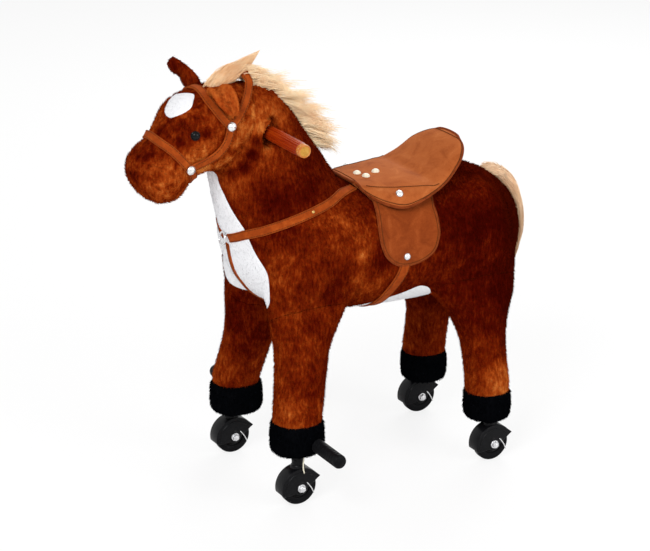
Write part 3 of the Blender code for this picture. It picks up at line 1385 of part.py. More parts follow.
def build():
    clear_scene()
    make_main_frame()
    front = [make_leg_frame("front_leg_frame", SHOULDER, FRONT_AXLE_Y, 1, True)]
    rear = [make_leg_frame("rear_leg_frame", HIP, REAR_AXLE_Y, -1, False)]
    make_pivot_bolt("shoulder_bolt", SHOULDER)
    make_pivot_bolt("hip_bolt", HIP)
    make_return_spring("shoulder_spring", SHOULDER)
    make_return_spring("hip_spring", HIP)
    link = make_coupling_link()
    make_saddle_board()
    make_handlebar()
    front += [make_peg(1, "left"), make_peg(-1, "right")]
    for name, foot_y, group in (("front", FRONT_AXLE_Y, front), ("rear", REAR_AXLE_Y, rear)):
        for side, label in ((1, "left"), (-1, "right")):
            hood, wheel, bolt, pawl = make_caster(side, foot_y, f"{name}_{label}")
            axle = Vector((side * FOOT_X, foot_y, WHEEL_RADIUS))
            group += [hood, bolt, pawl, hang_on(f"wheel_axis_{name}_{label}", axle, [wheel])]
    make_body()
    make_neck()
    make_head()
    legs = make_legs()
    front += legs["front"]
    rear += legs["rear"]
    front.append(hang_on("link_axis", SHOULDER + UP * CRANK_REACH, [link]))
    hang_on("shoulder_axis", SHOULDER, front)
    hang_on("hip_axis", HIP, rear)
    bridle_room = make_bridle()
    make_ears(bridle_room)
    make_hair(bridle_room)
    make_tail()
    make_bib()
    make_chest_straps()
    make_saddle()
    make_girth()


build()
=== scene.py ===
import json
import math
import random

import bmesh
import bpy
import numpy
from mathutils import Matrix, Vector
from mathutils.bvhtree import BVHTree
from mathutils.kdtree import KDTree


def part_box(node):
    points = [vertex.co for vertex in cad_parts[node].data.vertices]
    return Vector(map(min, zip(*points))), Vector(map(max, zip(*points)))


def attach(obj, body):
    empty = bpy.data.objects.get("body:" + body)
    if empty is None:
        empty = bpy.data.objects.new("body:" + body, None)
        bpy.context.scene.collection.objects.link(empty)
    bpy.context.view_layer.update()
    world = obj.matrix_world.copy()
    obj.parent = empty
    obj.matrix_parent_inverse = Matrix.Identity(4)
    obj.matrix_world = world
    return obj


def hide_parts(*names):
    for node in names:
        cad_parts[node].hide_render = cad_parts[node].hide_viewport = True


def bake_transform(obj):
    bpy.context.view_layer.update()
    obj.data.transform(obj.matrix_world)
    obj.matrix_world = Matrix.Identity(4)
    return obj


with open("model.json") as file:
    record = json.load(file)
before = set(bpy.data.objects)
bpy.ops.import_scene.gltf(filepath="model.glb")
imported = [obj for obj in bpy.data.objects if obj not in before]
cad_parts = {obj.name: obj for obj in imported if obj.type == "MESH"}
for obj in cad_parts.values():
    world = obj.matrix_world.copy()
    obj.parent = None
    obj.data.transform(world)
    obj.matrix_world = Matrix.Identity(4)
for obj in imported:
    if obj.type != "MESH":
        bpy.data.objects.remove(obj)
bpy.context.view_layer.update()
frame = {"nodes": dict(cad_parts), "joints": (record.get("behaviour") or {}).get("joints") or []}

joints = {joint["name"]: Vector(joint["pos_m"]) for joint in frame["joints"]}
shoulder, hip = joints["front_leg_swing"], joints["rear_leg_swing"]
axles = {name.removeprefix("wheel_").removesuffix("_spin"): where
         for name, where in joints.items() if name.startswith("wheel_")}
across, backward, upward = Vector((1, 0, 0)), Vector((0, 1, 0)), Vector((0, 0, 1))
halves = ((1, "left"), (-1, "right"))
legBodies = {"front": "front_legs", "rear": "rear_legs"}


def middleOf(node):
    low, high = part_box(node)
    return (low + high) / 2


handle = middleOf("handle_bar")


# Materials

def addNode(tree, kind, values=None, **settings):
    made = tree.nodes.new(kind)
    for key, value in settings.items():
        setattr(made, key, value)
    for key, value in (values or {}).items():
        if isinstance(value, bpy.types.NodeSocket):
            tree.links.new(value, made.inputs[key])
        else:
            made.inputs[key].default_value = value
    return made


def newMaterial(name, sockets):
    made = bpy.data.materials.new(name)
    made.use_nodes = True
    shader = made.node_tree.nodes["Principled BSDF"]
    for key, value in sockets.items():
        shader.inputs[key].default_value = value
    return made, made.node_tree, shader


def grain(tree, scale, detail, rough, swirl=0.0, stretch=(1, 1, 1)):
    # noise on the piece's own coordinates
    where = addNode(tree, "ShaderNodeTexCoord").outputs["Object"]
    where = addNode(tree, "ShaderNodeMapping", {"Vector": where, "Scale": stretch}).outputs[0]
    values = {"Vector": where, "Scale": scale, "Detail": detail, "Roughness": rough, "Distortion": swirl}
    return addNode(tree, "ShaderNodeTexNoise", values).outputs["Fac"]


def sums(tree, kind, first, second):
    return addNode(tree, "ShaderNodeMath", {0: first, 1: second}, operation=kind).outputs[0]


def vectors(tree, kind, first, second):
    return addNode(tree, "ShaderNodeVectorMath", {0: first, 1: second}, operation=kind)


def layered(tree, layers, weights):
    total = None
    for layer, weight in zip(layers, weights):
        part = sums(tree, "MULTIPLY", layer, weight)
        total = sums(tree, "ADD", total, part) if total else part
    return total


def coloured(tree, shader, factor, stops):
    made = addNode(tree, "ShaderNodeValToRGB", {"Fac": factor})
    elements = made.color_ramp.elements
    while len(elements) < len(stops):
        elements.new(0.5)
    for element, (position, colour) in zip(elements, stops):
        element.position = position
        element.color = (*colour, 1)
    tree.links.new(made.outputs["Color"], shader.inputs["Base Color"])


def bumped(tree, shader, height, strength, distance):
    values = {"Height": height, "Strength": strength, "Distance": distance}
    tree.links.new(addNode(tree, "ShaderNodeBump", values).outputs[0], shader.inputs["Normal"])


mottle = {  # scale, detail, roughness, swirl and stretch of the pile's layers, and where their mix lies
    "patches": (14, 3, 0.62, 0.3, (1, 0.8, 1)), "streaks": (62, 4, 0.66, 0.35, (1, 1, 0.8)),
    "nap": (260, 3, 0.65, 0.0, (1, 1, 0.35)), "bumps": (420, 3, 0.6), "level": 0.52,
    "weights": (0.37, 0.21, 0.29), "headWeights": (0.62, 0.46, 0.22),  # the head is more broken up
}


def mottledMaterial(name, stops, sheen, lift=0.0, fine=True, spots=(), weights=mottle["weights"]):
    # crushed pile: broad patches, short streaks and a fine nap, lighter or darker at each spot
    sockets = {"Roughness": 0.85, "Specular IOR Level": 0.0, "Sheen Roughness": 0.45}
    made, tree, shader = newMaterial(name, sockets | {"Sheen Weight": sheen[0], "Sheen Tint": (*sheen[1], 1)})
    layers = [grain(tree, *mottle[layer]) for layer in ("patches", "streaks", "nap")]
    mix = sums(tree, "ADD", layered(tree, layers, weights), lift + mottle["level"] - sum(weights) / 2)
    where = addNode(tree, "ShaderNodeTexCoord").outputs["Object"]
    for centre, radius, amount in spots:
        away = vectors(tree, "DISTANCE", where, centre).outputs["Value"]
        near = addNode(tree, "ShaderNodeMapRange", {"Value": away, 1: 0.0, 2: radius, 3: amount, 4: 0.0},
                       interpolation_type="SMOOTHSTEP").outputs[0]
        mix = sums(tree, "ADD", mix, near)
    coloured(tree, shader, mix, stops)
    if fine:
        height = sums(tree, "MULTIPLY", grain(tree, *mottle["bumps"]), 0.5)
        height = sums(tree, "ADD", height, layers[1])
        bumped(tree, shader, height, 0.55, 0.0016)
    return made


plushToneAndPaintedShade = (  # centre, reach, and how much lighter (above 0) or darker (below 0) the pile is there; the spots marked below are painted shade and painted highlight
    ((0.05, -0.235, 0.530), 0.130, 0.125),  # the whole face
    ((0.05, -0.120, 0.585), 0.075, 0.130),
    ((0.00, -0.170, 0.640), 0.060, 0.060),
    ((0.09, -0.140, 0.270), 0.160, 0.060),  # front legs
    ((0.09, -0.130, 0.130), 0.075, 0.070),
    ((-0.10, -0.120, 0.140), 0.070, 0.080),
    ((0.10, 0.213, 0.125), 0.065, 0.190),  # rear legs above the cuffs
    ((-0.10, 0.213, 0.125), 0.065, 0.120),
    ((0.10, 0.020, 0.330), 0.090, 0.060),  # shoulder and flank
    ((0.09, -0.030, 0.430), 0.045, 0.060),
    ((0.08, -0.100, 0.480), 0.060, -0.050),
    ((0.045, -0.268, 0.572), 0.038, -0.110),  # brow, muzzle and poll
    ((0.03, -0.300, 0.490), 0.070, 0.045),
    ((0.045, -0.205, 0.612), 0.015, -0.060),
    ((0.065, -0.150, 0.470), 0.048, -0.110),  # throat and neck
    ((0.05, -0.125, 0.550), 0.040, -0.055),
    ((0.09, 0.235, 0.230), 0.070, -0.100),  # back of the thigh
    ((0.05, -0.195, 0.590), 0.024, 0.120),
    ((0.053, -0.159, 0.548), 0.013, -0.150),  # painted shade in the groove behind the jaw
    ((0.050, -0.163, 0.526), 0.016, -0.190),
    ((0.044, -0.172, 0.508), 0.016, -0.190),
    ((0.033, -0.182, 0.496), 0.016, -0.160),
    ((0.054, -0.186, 0.545), 0.013, 0.130),  # painted highlight on the cheek beside it
    ((0.050, -0.195, 0.522), 0.014, 0.150),
    ((0.042, -0.208, 0.508), 0.013, 0.140),
    ((0.052, -0.146, 0.563), 0.013, 0.140),
    ((0.053, -0.141, 0.533), 0.015, 0.140),
    ((0.103, 0.024, 0.352), 0.036, -0.120),  # painted shade behind the shoulder seam and painted highlight before it
    ((0.092, 0.045, 0.308), 0.036, -0.060),
    ((0.104, -0.014, 0.366), 0.018, 0.090),
    ((0.100, -0.020, 0.330), 0.018, 0.090),
    ((0.086, -0.024, 0.300), 0.020, 0.045),
    ((0.04, 0.260, 0.340), 0.210, -0.170),  # rump
)
plushStops = ((0.36, (0.030, 0.0008, 0.0002)), (0.45, (0.062, 0.0028, 0.0005)), (0.54, (0.140, 0.0125, 0.0012)),
              (0.63, (0.300, 0.0480, 0.0055)), (0.75, (0.56, 0.170, 0.032)))
earStops = ((0.36, (0.16, 0.014, 0.0015)), (0.48, (0.30, 0.046, 0.006)), (0.60, (0.46, 0.110, 0.018)),
            (0.74, (0.62, 0.210, 0.045)))
blackStops = ((0.3, (0.0006, 0.0008, 0.0012)), (0.55, (0.0014, 0.0016, 0.0022)), (0.75, (0.004, 0.004, 0.005)))
whiteStops = ((0.3, (0.70, 0.70, 0.72)), (0.5, (0.77, 0.77, 0.79)), (0.7, (0.83, 0.83, 0.85)))
skinLook = (plushStops, (0.04, (1.0, 0.16, 0.02)), -0.030, True, plushToneAndPaintedShade)
pileLook = (plushStops, (0.03, (1.0, 0.18, 0.03)), 0.005, False, plushToneAndPaintedShade)
chestnutPlush = mottledMaterial("chestnutPlush", *skinLook)
chestnutPile = mottledMaterial("chestnutPile", *pileLook)
headPlush = mottledMaterial("headPlush", *skinLook, mottle["headWeights"])
headFinish = mottledMaterial("headFinish", *pileLook, mottle["headWeights"])
earPlush = mottledMaterial("earPlush", earStops, (0.04, (1.0, 0.3, 0.06)))
blackPlush = mottledMaterial("blackPlush", blackStops, (0.0, (0.6, 0.6, 0.7)))
whitePlush = mottledMaterial("whitePlush", whiteStops, (0.05, (1, 1, 1)))


def hairMaterial(name, stops, stretch, sheen):
    made, tree, shader = newMaterial(name, {"Roughness": 0.62, "Specular IOR Level": 0.25,
                                            "Sheen Weight": sheen, "Sheen Tint": (1.0, 0.85, 0.7, 1)})
    layers = (grain(tree, 260, 3, 0.6, 0.0, stretch), grain(tree, 24, 3, 0.5))
    coloured(tree, shader, layered(tree, layers, (0.5, 0.5)), stops)
    return made


maneStops = ((0.30, (0.97, 0.58, 0.29)), (0.46, (1.0, 0.72, 0.42)), (0.60, (1.0, 0.82, 0.54)),
             (0.75, (1.0, 0.90, 0.68)))
foreStops = ((0.30, (0.80, 0.42, 0.18)), (0.46, (0.92, 0.57, 0.30)), (0.60, (0.96, 0.68, 0.41)),
             (0.75, (1.0, 0.80, 0.56)))
tailStops = ((0.30, (0.72, 0.42, 0.22)), (0.46, (0.84, 0.56, 0.34)), (0.60, (0.90, 0.66, 0.44)),
             (0.75, (0.95, 0.78, 0.58)))
blondeHair = hairMaterial("blondeHair", maneStops, (1, 0.3, 0.6), 0.7)
forelockFinish = hairMaterial("forelockFinish", foreStops, (1, 0.2, 0.5), 0.3)
tailHairFinish = hairMaterial("tailHairFinish", tailStops, (1, 1, 0.2), 0.3)


def suedeMaterial(name, stops, sheen, scale=38):
    made, tree, shader = newMaterial(name, {"Roughness": 0.82, "Specular IOR Level": 0.06,
                                            "Sheen Weight": sheen, "Sheen Tint": (1.0, 0.50, 0.20, 1)})
    nap = grain(tree, 700, 3, 0.6)
    coloured(tree, shader, layered(tree, (grain(tree, scale, 4, 0.6, 0.8), nap), (0.72, 0.28)), stops)
    bumped(tree, shader, nap, 0.25, 0.0006)
    return made


saddleStops = ((0.32, (0.26, 0.055, 0.011)), (0.46, (0.36, 0.088, 0.020)), (0.56, (0.39, 0.101, 0.024)),
               (0.70, (0.48, 0.145, 0.040)))
flapStops = ((0.32, (0.15, 0.024, 0.0035)), (0.46, (0.205, 0.036, 0.0055)), (0.56, (0.245, 0.046, 0.0075)),
             (0.70, (0.31, 0.068, 0.0140)))
strapStops = ((0.32, (0.20, 0.030, 0.0035)), (0.46, (0.255, 0.040, 0.0042)), (0.56, (0.31, 0.052, 0.0056)),
              (0.70, (0.40, 0.082, 0.011)))
pipingStops = ((0.32, (0.11, 0.018, 0.003)), (0.5, (0.18, 0.032, 0.006)), (0.70, (0.26, 0.052, 0.011)))
saddleSuede = suedeMaterial("saddleSuede", saddleStops, 0.08)
flapSuede = suedeMaterial("flapSuede", flapStops, 0.05)
strapSuede = suedeMaterial("strapSuede", strapStops, 0.03, 60)
pipingSuede = suedeMaterial("pipingSuede", pipingStops, 0.05, 60)


def woodMaterial(name, stops, roughness, stretch, coat):
    made, tree, shader = newMaterial(name, {"Roughness": roughness, "Specular IOR Level": 0.2,
                                            "Coat Weight": coat, "Coat Roughness": 0.2})
    fibres = grain(tree, 300, 5, 0.6, 0.3, stretch)
    rings = grain(tree, 60, 3, 0.5, 1.2, stretch)
    coloured(tree, shader, layered(tree, (fibres, rings), (0.5, 0.5)), stops)
    bumped(tree, shader, fibres, 0.15, 0.0004)
    return made


redStops = ((0.3, (0.16, 0.009, 0.0003)), (0.5, (0.28, 0.022, 0.0006)), (0.7, (0.42, 0.055, 0.003)))
paleStops = ((0.3, (0.40, 0.115, 0.016)), (0.5, (0.50, 0.165, 0.028)), (0.7, (0.60, 0.25, 0.060)))
goldStops = ((0.3, (0.34, 0.15, 0.012)), (0.5, (0.46, 0.22, 0.025)), (0.7, (0.56, 0.31, 0.06)))
boardStops = ((0.3, (0.42, 0.27, 0.14)), (0.5, (0.55, 0.38, 0.21)), (0.7, (0.66, 0.49, 0.30)))
gripWood = woodMaterial("gripWood", redStops, 0.36, (0.08, 1, 1), 0.0)
capWood = woodMaterial("capWood", paleStops, 0.4, (1, 1, 1), 0.05)
discGold = woodMaterial("discGold", goldStops, 0.42, (1, 1, 1), 0.2)
boardWood = woodMaterial("boardWood", boardStops, 0.6, (1, 0.1, 1), 0.0)


def plainMaterial(name, first, second, roughness, metallic, scale, bump, gloss):
    made, tree, shader = newMaterial(name, {"Roughness": roughness, "Metallic": metallic,
                                            "Specular IOR Level": gloss})
    coloured(tree, shader, grain(tree, scale, 4, 0.6), ((0.3, first), (0.7, second)))
    if bump:
        bumped(tree, shader, grain(tree, scale * 4, 3, 0.6), bump, 0.0004)
    return made


plainFinishes = {  # two colours, roughness, metallic, speckles, bump, gloss
    "strapThread": ((0.07, 0.018, 0.004), (0.13, 0.036, 0.009), 0.8, 0.0, 900, 0.12, 0.05),
    "wheelRubber": ((0.0020, 0.0020, 0.0026), (0.005, 0.005, 0.006), 0.42, 0.0, 220, 0.12, 0.07),
    "hoodPlastic": ((0.0030, 0.0030, 0.0036), (0.006, 0.006, 0.007), 0.30, 0.0, 300, 0.08, 0.10),
    "pegRubber": ((0.0024, 0.0024, 0.0030), (0.006, 0.006, 0.007), 0.36, 0.0, 260, 0.12, 0.06),
    "domeMetal": ((0.66, 0.66, 0.66), (0.82, 0.82, 0.80), 0.24, 0.85, 320, 0.05, 0.5),
    "boltSteel": ((0.60, 0.60, 0.62), (0.78, 0.78, 0.79), 0.27, 0.9, 420, 0.08, 0.5),
    "wireSteel": ((0.62, 0.62, 0.62), (0.82, 0.82, 0.82), 0.3, 0.7, 420, 0.05, 0.5),
    "brassStud": ((0.45, 0.28, 0.08), (0.65, 0.42, 0.14), 0.3, 0.9, 420, 0.05, 0.5),
    "creamStud": ((0.72, 0.66, 0.50), (0.84, 0.79, 0.64), 0.4, 0.0, 300, 0.05, 0.5),
    "frameEnamel": ((0.018, 0.018, 0.020), (0.030, 0.030, 0.033), 0.38, 0.3, 120, 0.1, 0.5),
    "eyeBlack": ((0.0015, 0.0015, 0.002), (0.003, 0.003, 0.003), 0.05, 0.0, 90, 0.0, 0.14),
}
plain = {name: plainMaterial(name, *look) for name, look in plainFinishes.items()}
print("materials ready")


# Mesh helpers

def linked(name, data):
    made = bpy.data.objects.new(name, data)
    bpy.context.scene.collection.objects.link(made)
    return made


def meshOf(shape):
    mesh = bpy.data.meshes.new("shape")
    shape.to_mesh(mesh)
    shape.free()
    return mesh


def finished(name, mesh, finish, body, replaced=(), sharp=40):
    # a piece on its body; edges past the sharp angle stay crisp, with 0 none does
    made = linked(name, mesh)
    mesh.materials.clear()
    mesh.materials.append(finish)
    mesh.shade_smooth()
    if sharp:
        mesh.set_sharp_from_angle(angle=math.radians(sharp))
    if body:
        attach(made, body)
    if replaced:
        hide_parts(*replaced)
    return made


def skinOver(rings, caps=True):
    # rings of points joined into a skin, closed at both ends
    shape = bmesh.new()
    rows = [[shape.verts.new(point) for point in ring] for ring in rings]
    for first, second in zip(rows, rows[1:]):
        count = len(first)
        for i in range(count):
            j = (i + 1) % count
            shape.faces.new((first[i], first[j], second[j], second[i]))
    if caps:
        shape.faces.new(rows[0][::-1])
        shape.faces.new(rows[-1])
    bmesh.ops.recalc_face_normals(shape, faces=shape.faces)
    return shape


def hoopOver(rings):
    # the same for rings that run round and meet
    shape = skinOver(rings, caps=False)
    bmesh.ops.remove_doubles(shape, verts=shape.verts, dist=1e-6)
    bmesh.ops.recalc_face_normals(shape, faces=shape.faces)
    return shape


def ovalRing(centre, side, rise, halfWide, halfHigh, sides, fullness=2.0):
    ring = []
    for i in range(sides):
        angle = math.tau * (i + 0.5) / sides
        c, s = math.cos(angle), math.sin(angle)
        x = math.copysign(abs(c) ** (2 / fullness), c) * max(halfWide, 1e-4)
        y = math.copysign(abs(s) ** (2 / fullness), s) * max(halfHigh, 1e-4)
        ring.append(Vector(centre) + side * x + rise * y)
    return ring


def smoothRows(rows, count, ends):
    # a smooth reading of a table of stations, closer together near its ends
    table = numpy.array(rows, float)
    shares = table[:, 0]
    slopes = numpy.gradient(table[:, 1:], shares, axis=0)
    made = []
    for step in range(count):
        t = step / (count - 1)
        t = t - ends * math.sin(math.tau * t) / math.tau
        share = shares[0] + (shares[-1] - shares[0]) * t
        k = min(max(int(numpy.searchsorted(shares, share)) - 1, 0), len(shares) - 2)
        span = shares[k + 1] - shares[k]
        u = (share - shares[k]) / span
        a, b = table[k, 1:], table[k + 1, 1:]
        row = ((2 * u**3 - 3 * u**2 + 1) * a + (u**3 - 2 * u**2 + u) * span * slopes[k]
               + (-2 * u**3 + 3 * u**2) * b + (u**3 - u**2) * span * slopes[k + 1])
        made.append((share, *[float(value) for value in row]))
    return made


def smoothPath(points, count, closed=False):
    # evenly spaced points on a smooth curve through a few
    points = [Vector(point) for point in points]
    size = len(points)
    steps = 16
    fine = []
    for i in range(size if closed else size - 1):
        here, after = points[i], points[(i + 1) % size]
        before = points[i - 1] if i or closed else here * 2 - after
        later = points[(i + 2) % size] if i + 2 < size or closed else after * 2 - here
        for step in range(steps):
            t = step / steps
            fine.append(0.5 * (2 * here + (after - before) * t
                               + (2 * before - 5 * here + 4 * after - later) * t * t
                               + (3 * here - before - 3 * after + later) * t**3))
    fine.append(points[0] if closed else points[-1])
    lengths = [0.0]
    for a, b in zip(fine, fine[1:]):
        lengths.append(lengths[-1] + (b - a).length)
    made, k = [], 0
    for step in range(count):
        want = lengths[-1] * step / (count - 1)
        while k < len(lengths) - 2 and lengths[k + 1] < want:
            k += 1
        share = (want - lengths[k]) / max(lengths[k + 1] - lengths[k], 1e-9)
        made.append(fine[k].lerp(fine[k + 1], min(max(share, 0), 1)))
    return made


def alongAt(line, i):
    return (line[min(i + 1, len(line) - 1)] - line[max(i - 1, 0)]).normalized()


def squareTo(along, side):
    return (side - along * side.dot(along)).normalized()


def joined(shapes):
    whole = bmesh.new()
    for shape in shapes:
        mesh = shape if isinstance(shape, bpy.types.Mesh) else meshOf(shape)
        whole.from_mesh(mesh)
        bpy.data.meshes.remove(mesh)
    return meshOf(whole)


def evaluated(carrier):
    bpy.context.view_layer.update()
    mesh = bpy.data.meshes.new_from_object(carrier.evaluated_get(bpy.context.evaluated_depsgraph_get()))
    bpy.data.objects.remove(carrier)
    return mesh


def remeshed(mesh, voxel):
    carrier = linked("carrier", mesh)
    step = carrier.modifiers.new("remesh", "REMESH")
    step.mode = "VOXEL"
    step.voxel_size = voxel
    return evaluated(carrier)


def cutBy(mesh, cutters):
    carrier = linked("carrier", mesh)
    made = []
    for cutter in cutters:
        other = linked("cutter", meshOf(cutter))
        step = carrier.modifiers.new("cut", "BOOLEAN")
        step.operation = "DIFFERENCE"
        step.solver = "EXACT"
        step.object = other
        made.append(other)
    mesh = evaluated(carrier)
    for other in made:
        bpy.data.objects.remove(other)
    return mesh


def relaxed(mesh, rounds):
    shape = bmesh.new()
    shape.from_mesh(mesh)
    for _ in range(rounds):
        bmesh.ops.smooth_vert(shape, verts=shape.verts, factor=0.5, use_axis_x=True, use_axis_y=True,
                              use_axis_z=True)
    shape.to_mesh(mesh)
    shape.free()
    return mesh


def stuffed(shape, voxel, rounds):
    return relaxed(remeshed(meshOf(shape), voxel), rounds)


def carved(mesh, path, depth, width):
    # presses a groove into a skin along a path
    line = smoothPath(path, 80)
    near = KDTree(len(line))
    for i, point in enumerate(line):
        near.insert(point, i)
    near.balance()
    moves = []
    for vert in mesh.vertices:
        away = near.find(vert.co)[2]
        moves.append(vert.normal * depth * math.exp(-(away / width) ** 2) if away < width * 3 else None)
    for vert, move in zip(mesh.vertices, moves):
        if move:
            vert.co -= move


def spot(x, y, z):
    return Vector((x, y, z)) / 1000


def onSide(points, side=1):
    # typed points in mm, mirrored to the right where side is -1
    return [spot(side * x, y, z) for x, y, z in points]


def throughBoth(half):
    # a path over both sides, from the left half's points; the last one is in the middle
    return onSide(half) + onSide(half[-2::-1], -1)


def surfaceOf(mesh):
    shape = bmesh.new()
    shape.from_mesh(mesh)
    tree = BVHTree.FromBMesh(shape)
    shape.free()
    return tree


def onto(tree, point, lift=0.0):
    found, facing, _, _ = tree.find_nearest(Vector(point))
    return found + facing * lift, facing


# Node trees

def newTree(name, inputs):
    tree = bpy.data.node_groups.new(name, "GeometryNodeTree")
    tree.interface.new_socket("Geometry", in_out="INPUT", socket_type="NodeSocketGeometry")
    for label, kind in inputs.items():
        tree.interface.new_socket(label, in_out="INPUT", socket_type="NodeSocket" + kind)
    tree.interface.new_socket("Geometry", in_out="OUTPUT", socket_type="NodeSocketGeometry")
    return tree, addNode(tree, "NodeGroupInput").outputs


def endTree(tree, geometry, finish):
    real = addNode(tree, "GeometryNodeRealizeInstances", {"Geometry": geometry}).outputs[0]
    made = addNode(tree, "GeometryNodeSetMaterial", {"Geometry": real, "Material": finish}).outputs[0]
    tree.links.new(made, addNode(tree, "NodeGroupOutput").inputs["Geometry"])
    return tree


def placedOn(tree, points, pattern, facing, wide, high):
    # one pattern on every point, its Z along facing
    turned = addNode(tree, "FunctionNodeAlignRotationToVector", {"Vector": facing}, axis="Z").outputs[0]
    size = addNode(tree, "ShaderNodeCombineXYZ", {0: wide, 1: wide, 2: high}).outputs[0]
    values = {"Points": points, "Instance": pattern, "Rotation": turned, "Scale": size}
    return addNode(tree, "GeometryNodeInstanceOnPoints", values).outputs[0]


def scaledBy(tree, vector, scale):
    return addNode(tree, "ShaderNodeVectorMath", {0: vector, "Scale": scale}, operation="SCALE").outputs[0]


def makePileTree():
    # small cones that lean along a combed and swirled direction
    tree, given = newTree("pile", {"Density": "Float", "Length": "Float", "Width": "Float", "Lean": "Float",
                                   "Swirl": "Float", "Comb": "Vector", "Seed": "Int", "Finish": "Material"})
    spread = addNode(tree, "GeometryNodeDistributePointsOnFaces",
                     {"Mesh": given["Geometry"], "Density": given["Density"], "Seed": given["Seed"]})
    where = addNode(tree, "GeometryNodeInputPosition").outputs[0]
    curl = addNode(tree, "ShaderNodeTexNoise", {"Vector": where, "Scale": 38.0, "Detail": 2.0}).outputs["Color"]
    curl = vectors(tree, "SUBTRACT", curl, (0.5, 0.5, 0.5)).outputs[0]
    comb = vectors(tree, "ADD", given["Comb"], scaledBy(tree, curl, given["Swirl"])).outputs[0]
    facing = spread.outputs["Normal"]
    rise = scaledBy(tree, facing, vectors(tree, "DOT_PRODUCT", comb, facing).outputs["Value"])
    flat = vectors(tree, "SUBTRACT", comb, rise).outputs[0]
    flat = addNode(tree, "ShaderNodeVectorMath", {0: flat}, operation="NORMALIZE").outputs[0]
    mixed = addNode(tree, "ShaderNodeMix", {0: given["Lean"], 4: facing, 5: flat}, data_type="VECTOR")
    cone = addNode(tree, "GeometryNodeMeshCone", {"Vertices": 3, "Radius Bottom": 1.0, "Depth": 1.0})
    vary = addNode(tree, "FunctionNodeRandomValue", {2: 0.6, 3: 1.3, "Seed": given["Seed"]}, data_type="FLOAT")
    tall = sums(tree, "MULTIPLY", given["Length"], vary.outputs[1])
    points, cone, lean = spread.outputs["Points"], cone.outputs["Mesh"], mixed.outputs[1]
    placed = placedOn(tree, points, cone, lean, given["Width"], tall)
    return endTree(tree, placed, given["Finish"])


def makeStitchTree():
    tree, given = newTree("stitches", {"Spacing": "Float", "Length": "Float", "Radius": "Float",
                                       "Finish": "Material"})
    line = addNode(tree, "GeometryNodeMeshToCurve", {"Mesh": given["Geometry"]}).outputs[0]
    values = {"Curve": line, "Length": given["Spacing"]}
    even = addNode(tree, "GeometryNodeResampleCurve", values, mode="LENGTH").outputs[0]
    along = addNode(tree, "GeometryNodeInputTangent").outputs[0]
    ball = addNode(tree, "GeometryNodeMeshUVSphere", {"Segments": 6, "Rings": 4, "Radius": 1.0}).outputs["Mesh"]
    placed = placedOn(tree, even, ball, along, given["Radius"], given["Length"])
    return endTree(tree, placed, given["Finish"])


def makeStudTree():
    tree, given = newTree("studs", {"Stud": "Object", "Size": "Float", "Finish": "Material"})
    points = addNode(tree, "GeometryNodeMeshToPoints", {"Mesh": given["Geometry"], "Radius": 0.001}).outputs[0]
    facing = addNode(tree, "GeometryNodeInputNamedAttribute", {"Name": "facing"}, data_type="FLOAT_VECTOR")
    stud = addNode(tree, "GeometryNodeObjectInfo", {"Object": given["Stud"]}).outputs["Geometry"]
    placed = placedOn(tree, points, stud, facing.outputs[0], given["Size"], given["Size"])
    return endTree(tree, placed, given["Finish"])


def makeHairTree():
    tree, given = newTree("hair", {"Radius": "Float", "Tip": "Float", "Finish": "Material"})
    line = addNode(tree, "GeometryNodeMeshToCurve", {"Mesh": given["Geometry"]}).outputs[0]
    along = addNode(tree, "GeometryNodeSplineParameter").outputs["Factor"]
    thin = addNode(tree, "ShaderNodeMapRange", {"Value": along, 1: 0.35, 2: 1.0, 3: 1.0, 4: given["Tip"]})
    size = sums(tree, "MULTIPLY", thin.outputs[0], given["Radius"])
    ring = addNode(tree, "GeometryNodeCurvePrimitiveCircle", {"Resolution": 3, "Radius": 1.0}).outputs[0]
    tube = addNode(tree, "GeometryNodeCurveToMesh",
                   {"Curve": line, "Profile Curve": ring, "Scale": size, "Fill Caps": True}).outputs[0]
    return endTree(tree, tube, given["Finish"])


pileTree, stitchTree, studTree, hairTree = makePileTree(), makeStitchTree(), makeStudTree(), makeHairTree()


def grown(mesh, tree, values):
    # runs a node tree on a mesh and gives back the plain mesh it makes
    carrier = linked("carrier", mesh)
    step = carrier.modifiers.new("nodes", "NODES")
    step.node_group = tree
    for item in tree.interface.items_tree:
        if item.in_out == "INPUT" and item.name in values:
            step[item.identifier] = values[item.name]
    return evaluated(carrier)


def linesOf(lines):
    # rows of points as bare edges, for a tree that follows curves
    shape = bmesh.new()
    for line in lines:
        verts = [shape.verts.new(point) for point in line]
        for a, b in zip(verts, verts[1:]):
            shape.edges.new((a, b))
    return meshOf(shape)


def addPile(name, mesh, finish, body, settings, seed):
    values = dict(settings, Seed=seed, Finish=finish)
    return finished(name, grown(mesh.copy(), pileTree, values), finish, body, sharp=0)


def stitched(name, lines, spacing=0.0042, length=0.0020, radius=0.00055):
    thread = plain["strapThread"]
    values = {"Spacing": spacing, "Length": length, "Radius": radius, "Finish": thread}
    return finished(name, grown(linesOf(lines), stitchTree, values), thread, "body", sharp=0)


def hairOf(lines, radius, tip, finish):
    return grown(linesOf(lines), hairTree, {"Radius": radius, "Tip": tip, "Finish": finish})


def lathed(profile, sides):
    # a closed profile of (radius, height) turned round Z
    shape = bmesh.new()
    rows = []
    for radius, height in profile:
        turns = [math.tau * i / sides for i in range(sides if radius > 1e-7 else 1)]
        ring = [(radius * math.cos(turn), radius * math.sin(turn), height) for turn in turns]
        rows.append([shape.verts.new(point) for point in ring])
    for first, second in zip(rows, rows[1:]):
        for i in range(sides):
            j = (i + 1) % sides
            corners = [row[k % len(row)] for row, k in ((first, i), (first, j), (second, j), (second, i))]
            shape.faces.new(list(dict.fromkeys(corners)))
    for row in (rows[0], rows[-1]):
        if len(row) > 1:
            shape.faces.new(row)
    bmesh.ops.recalc_face_normals(shape, faces=shape.faces)
    return shape


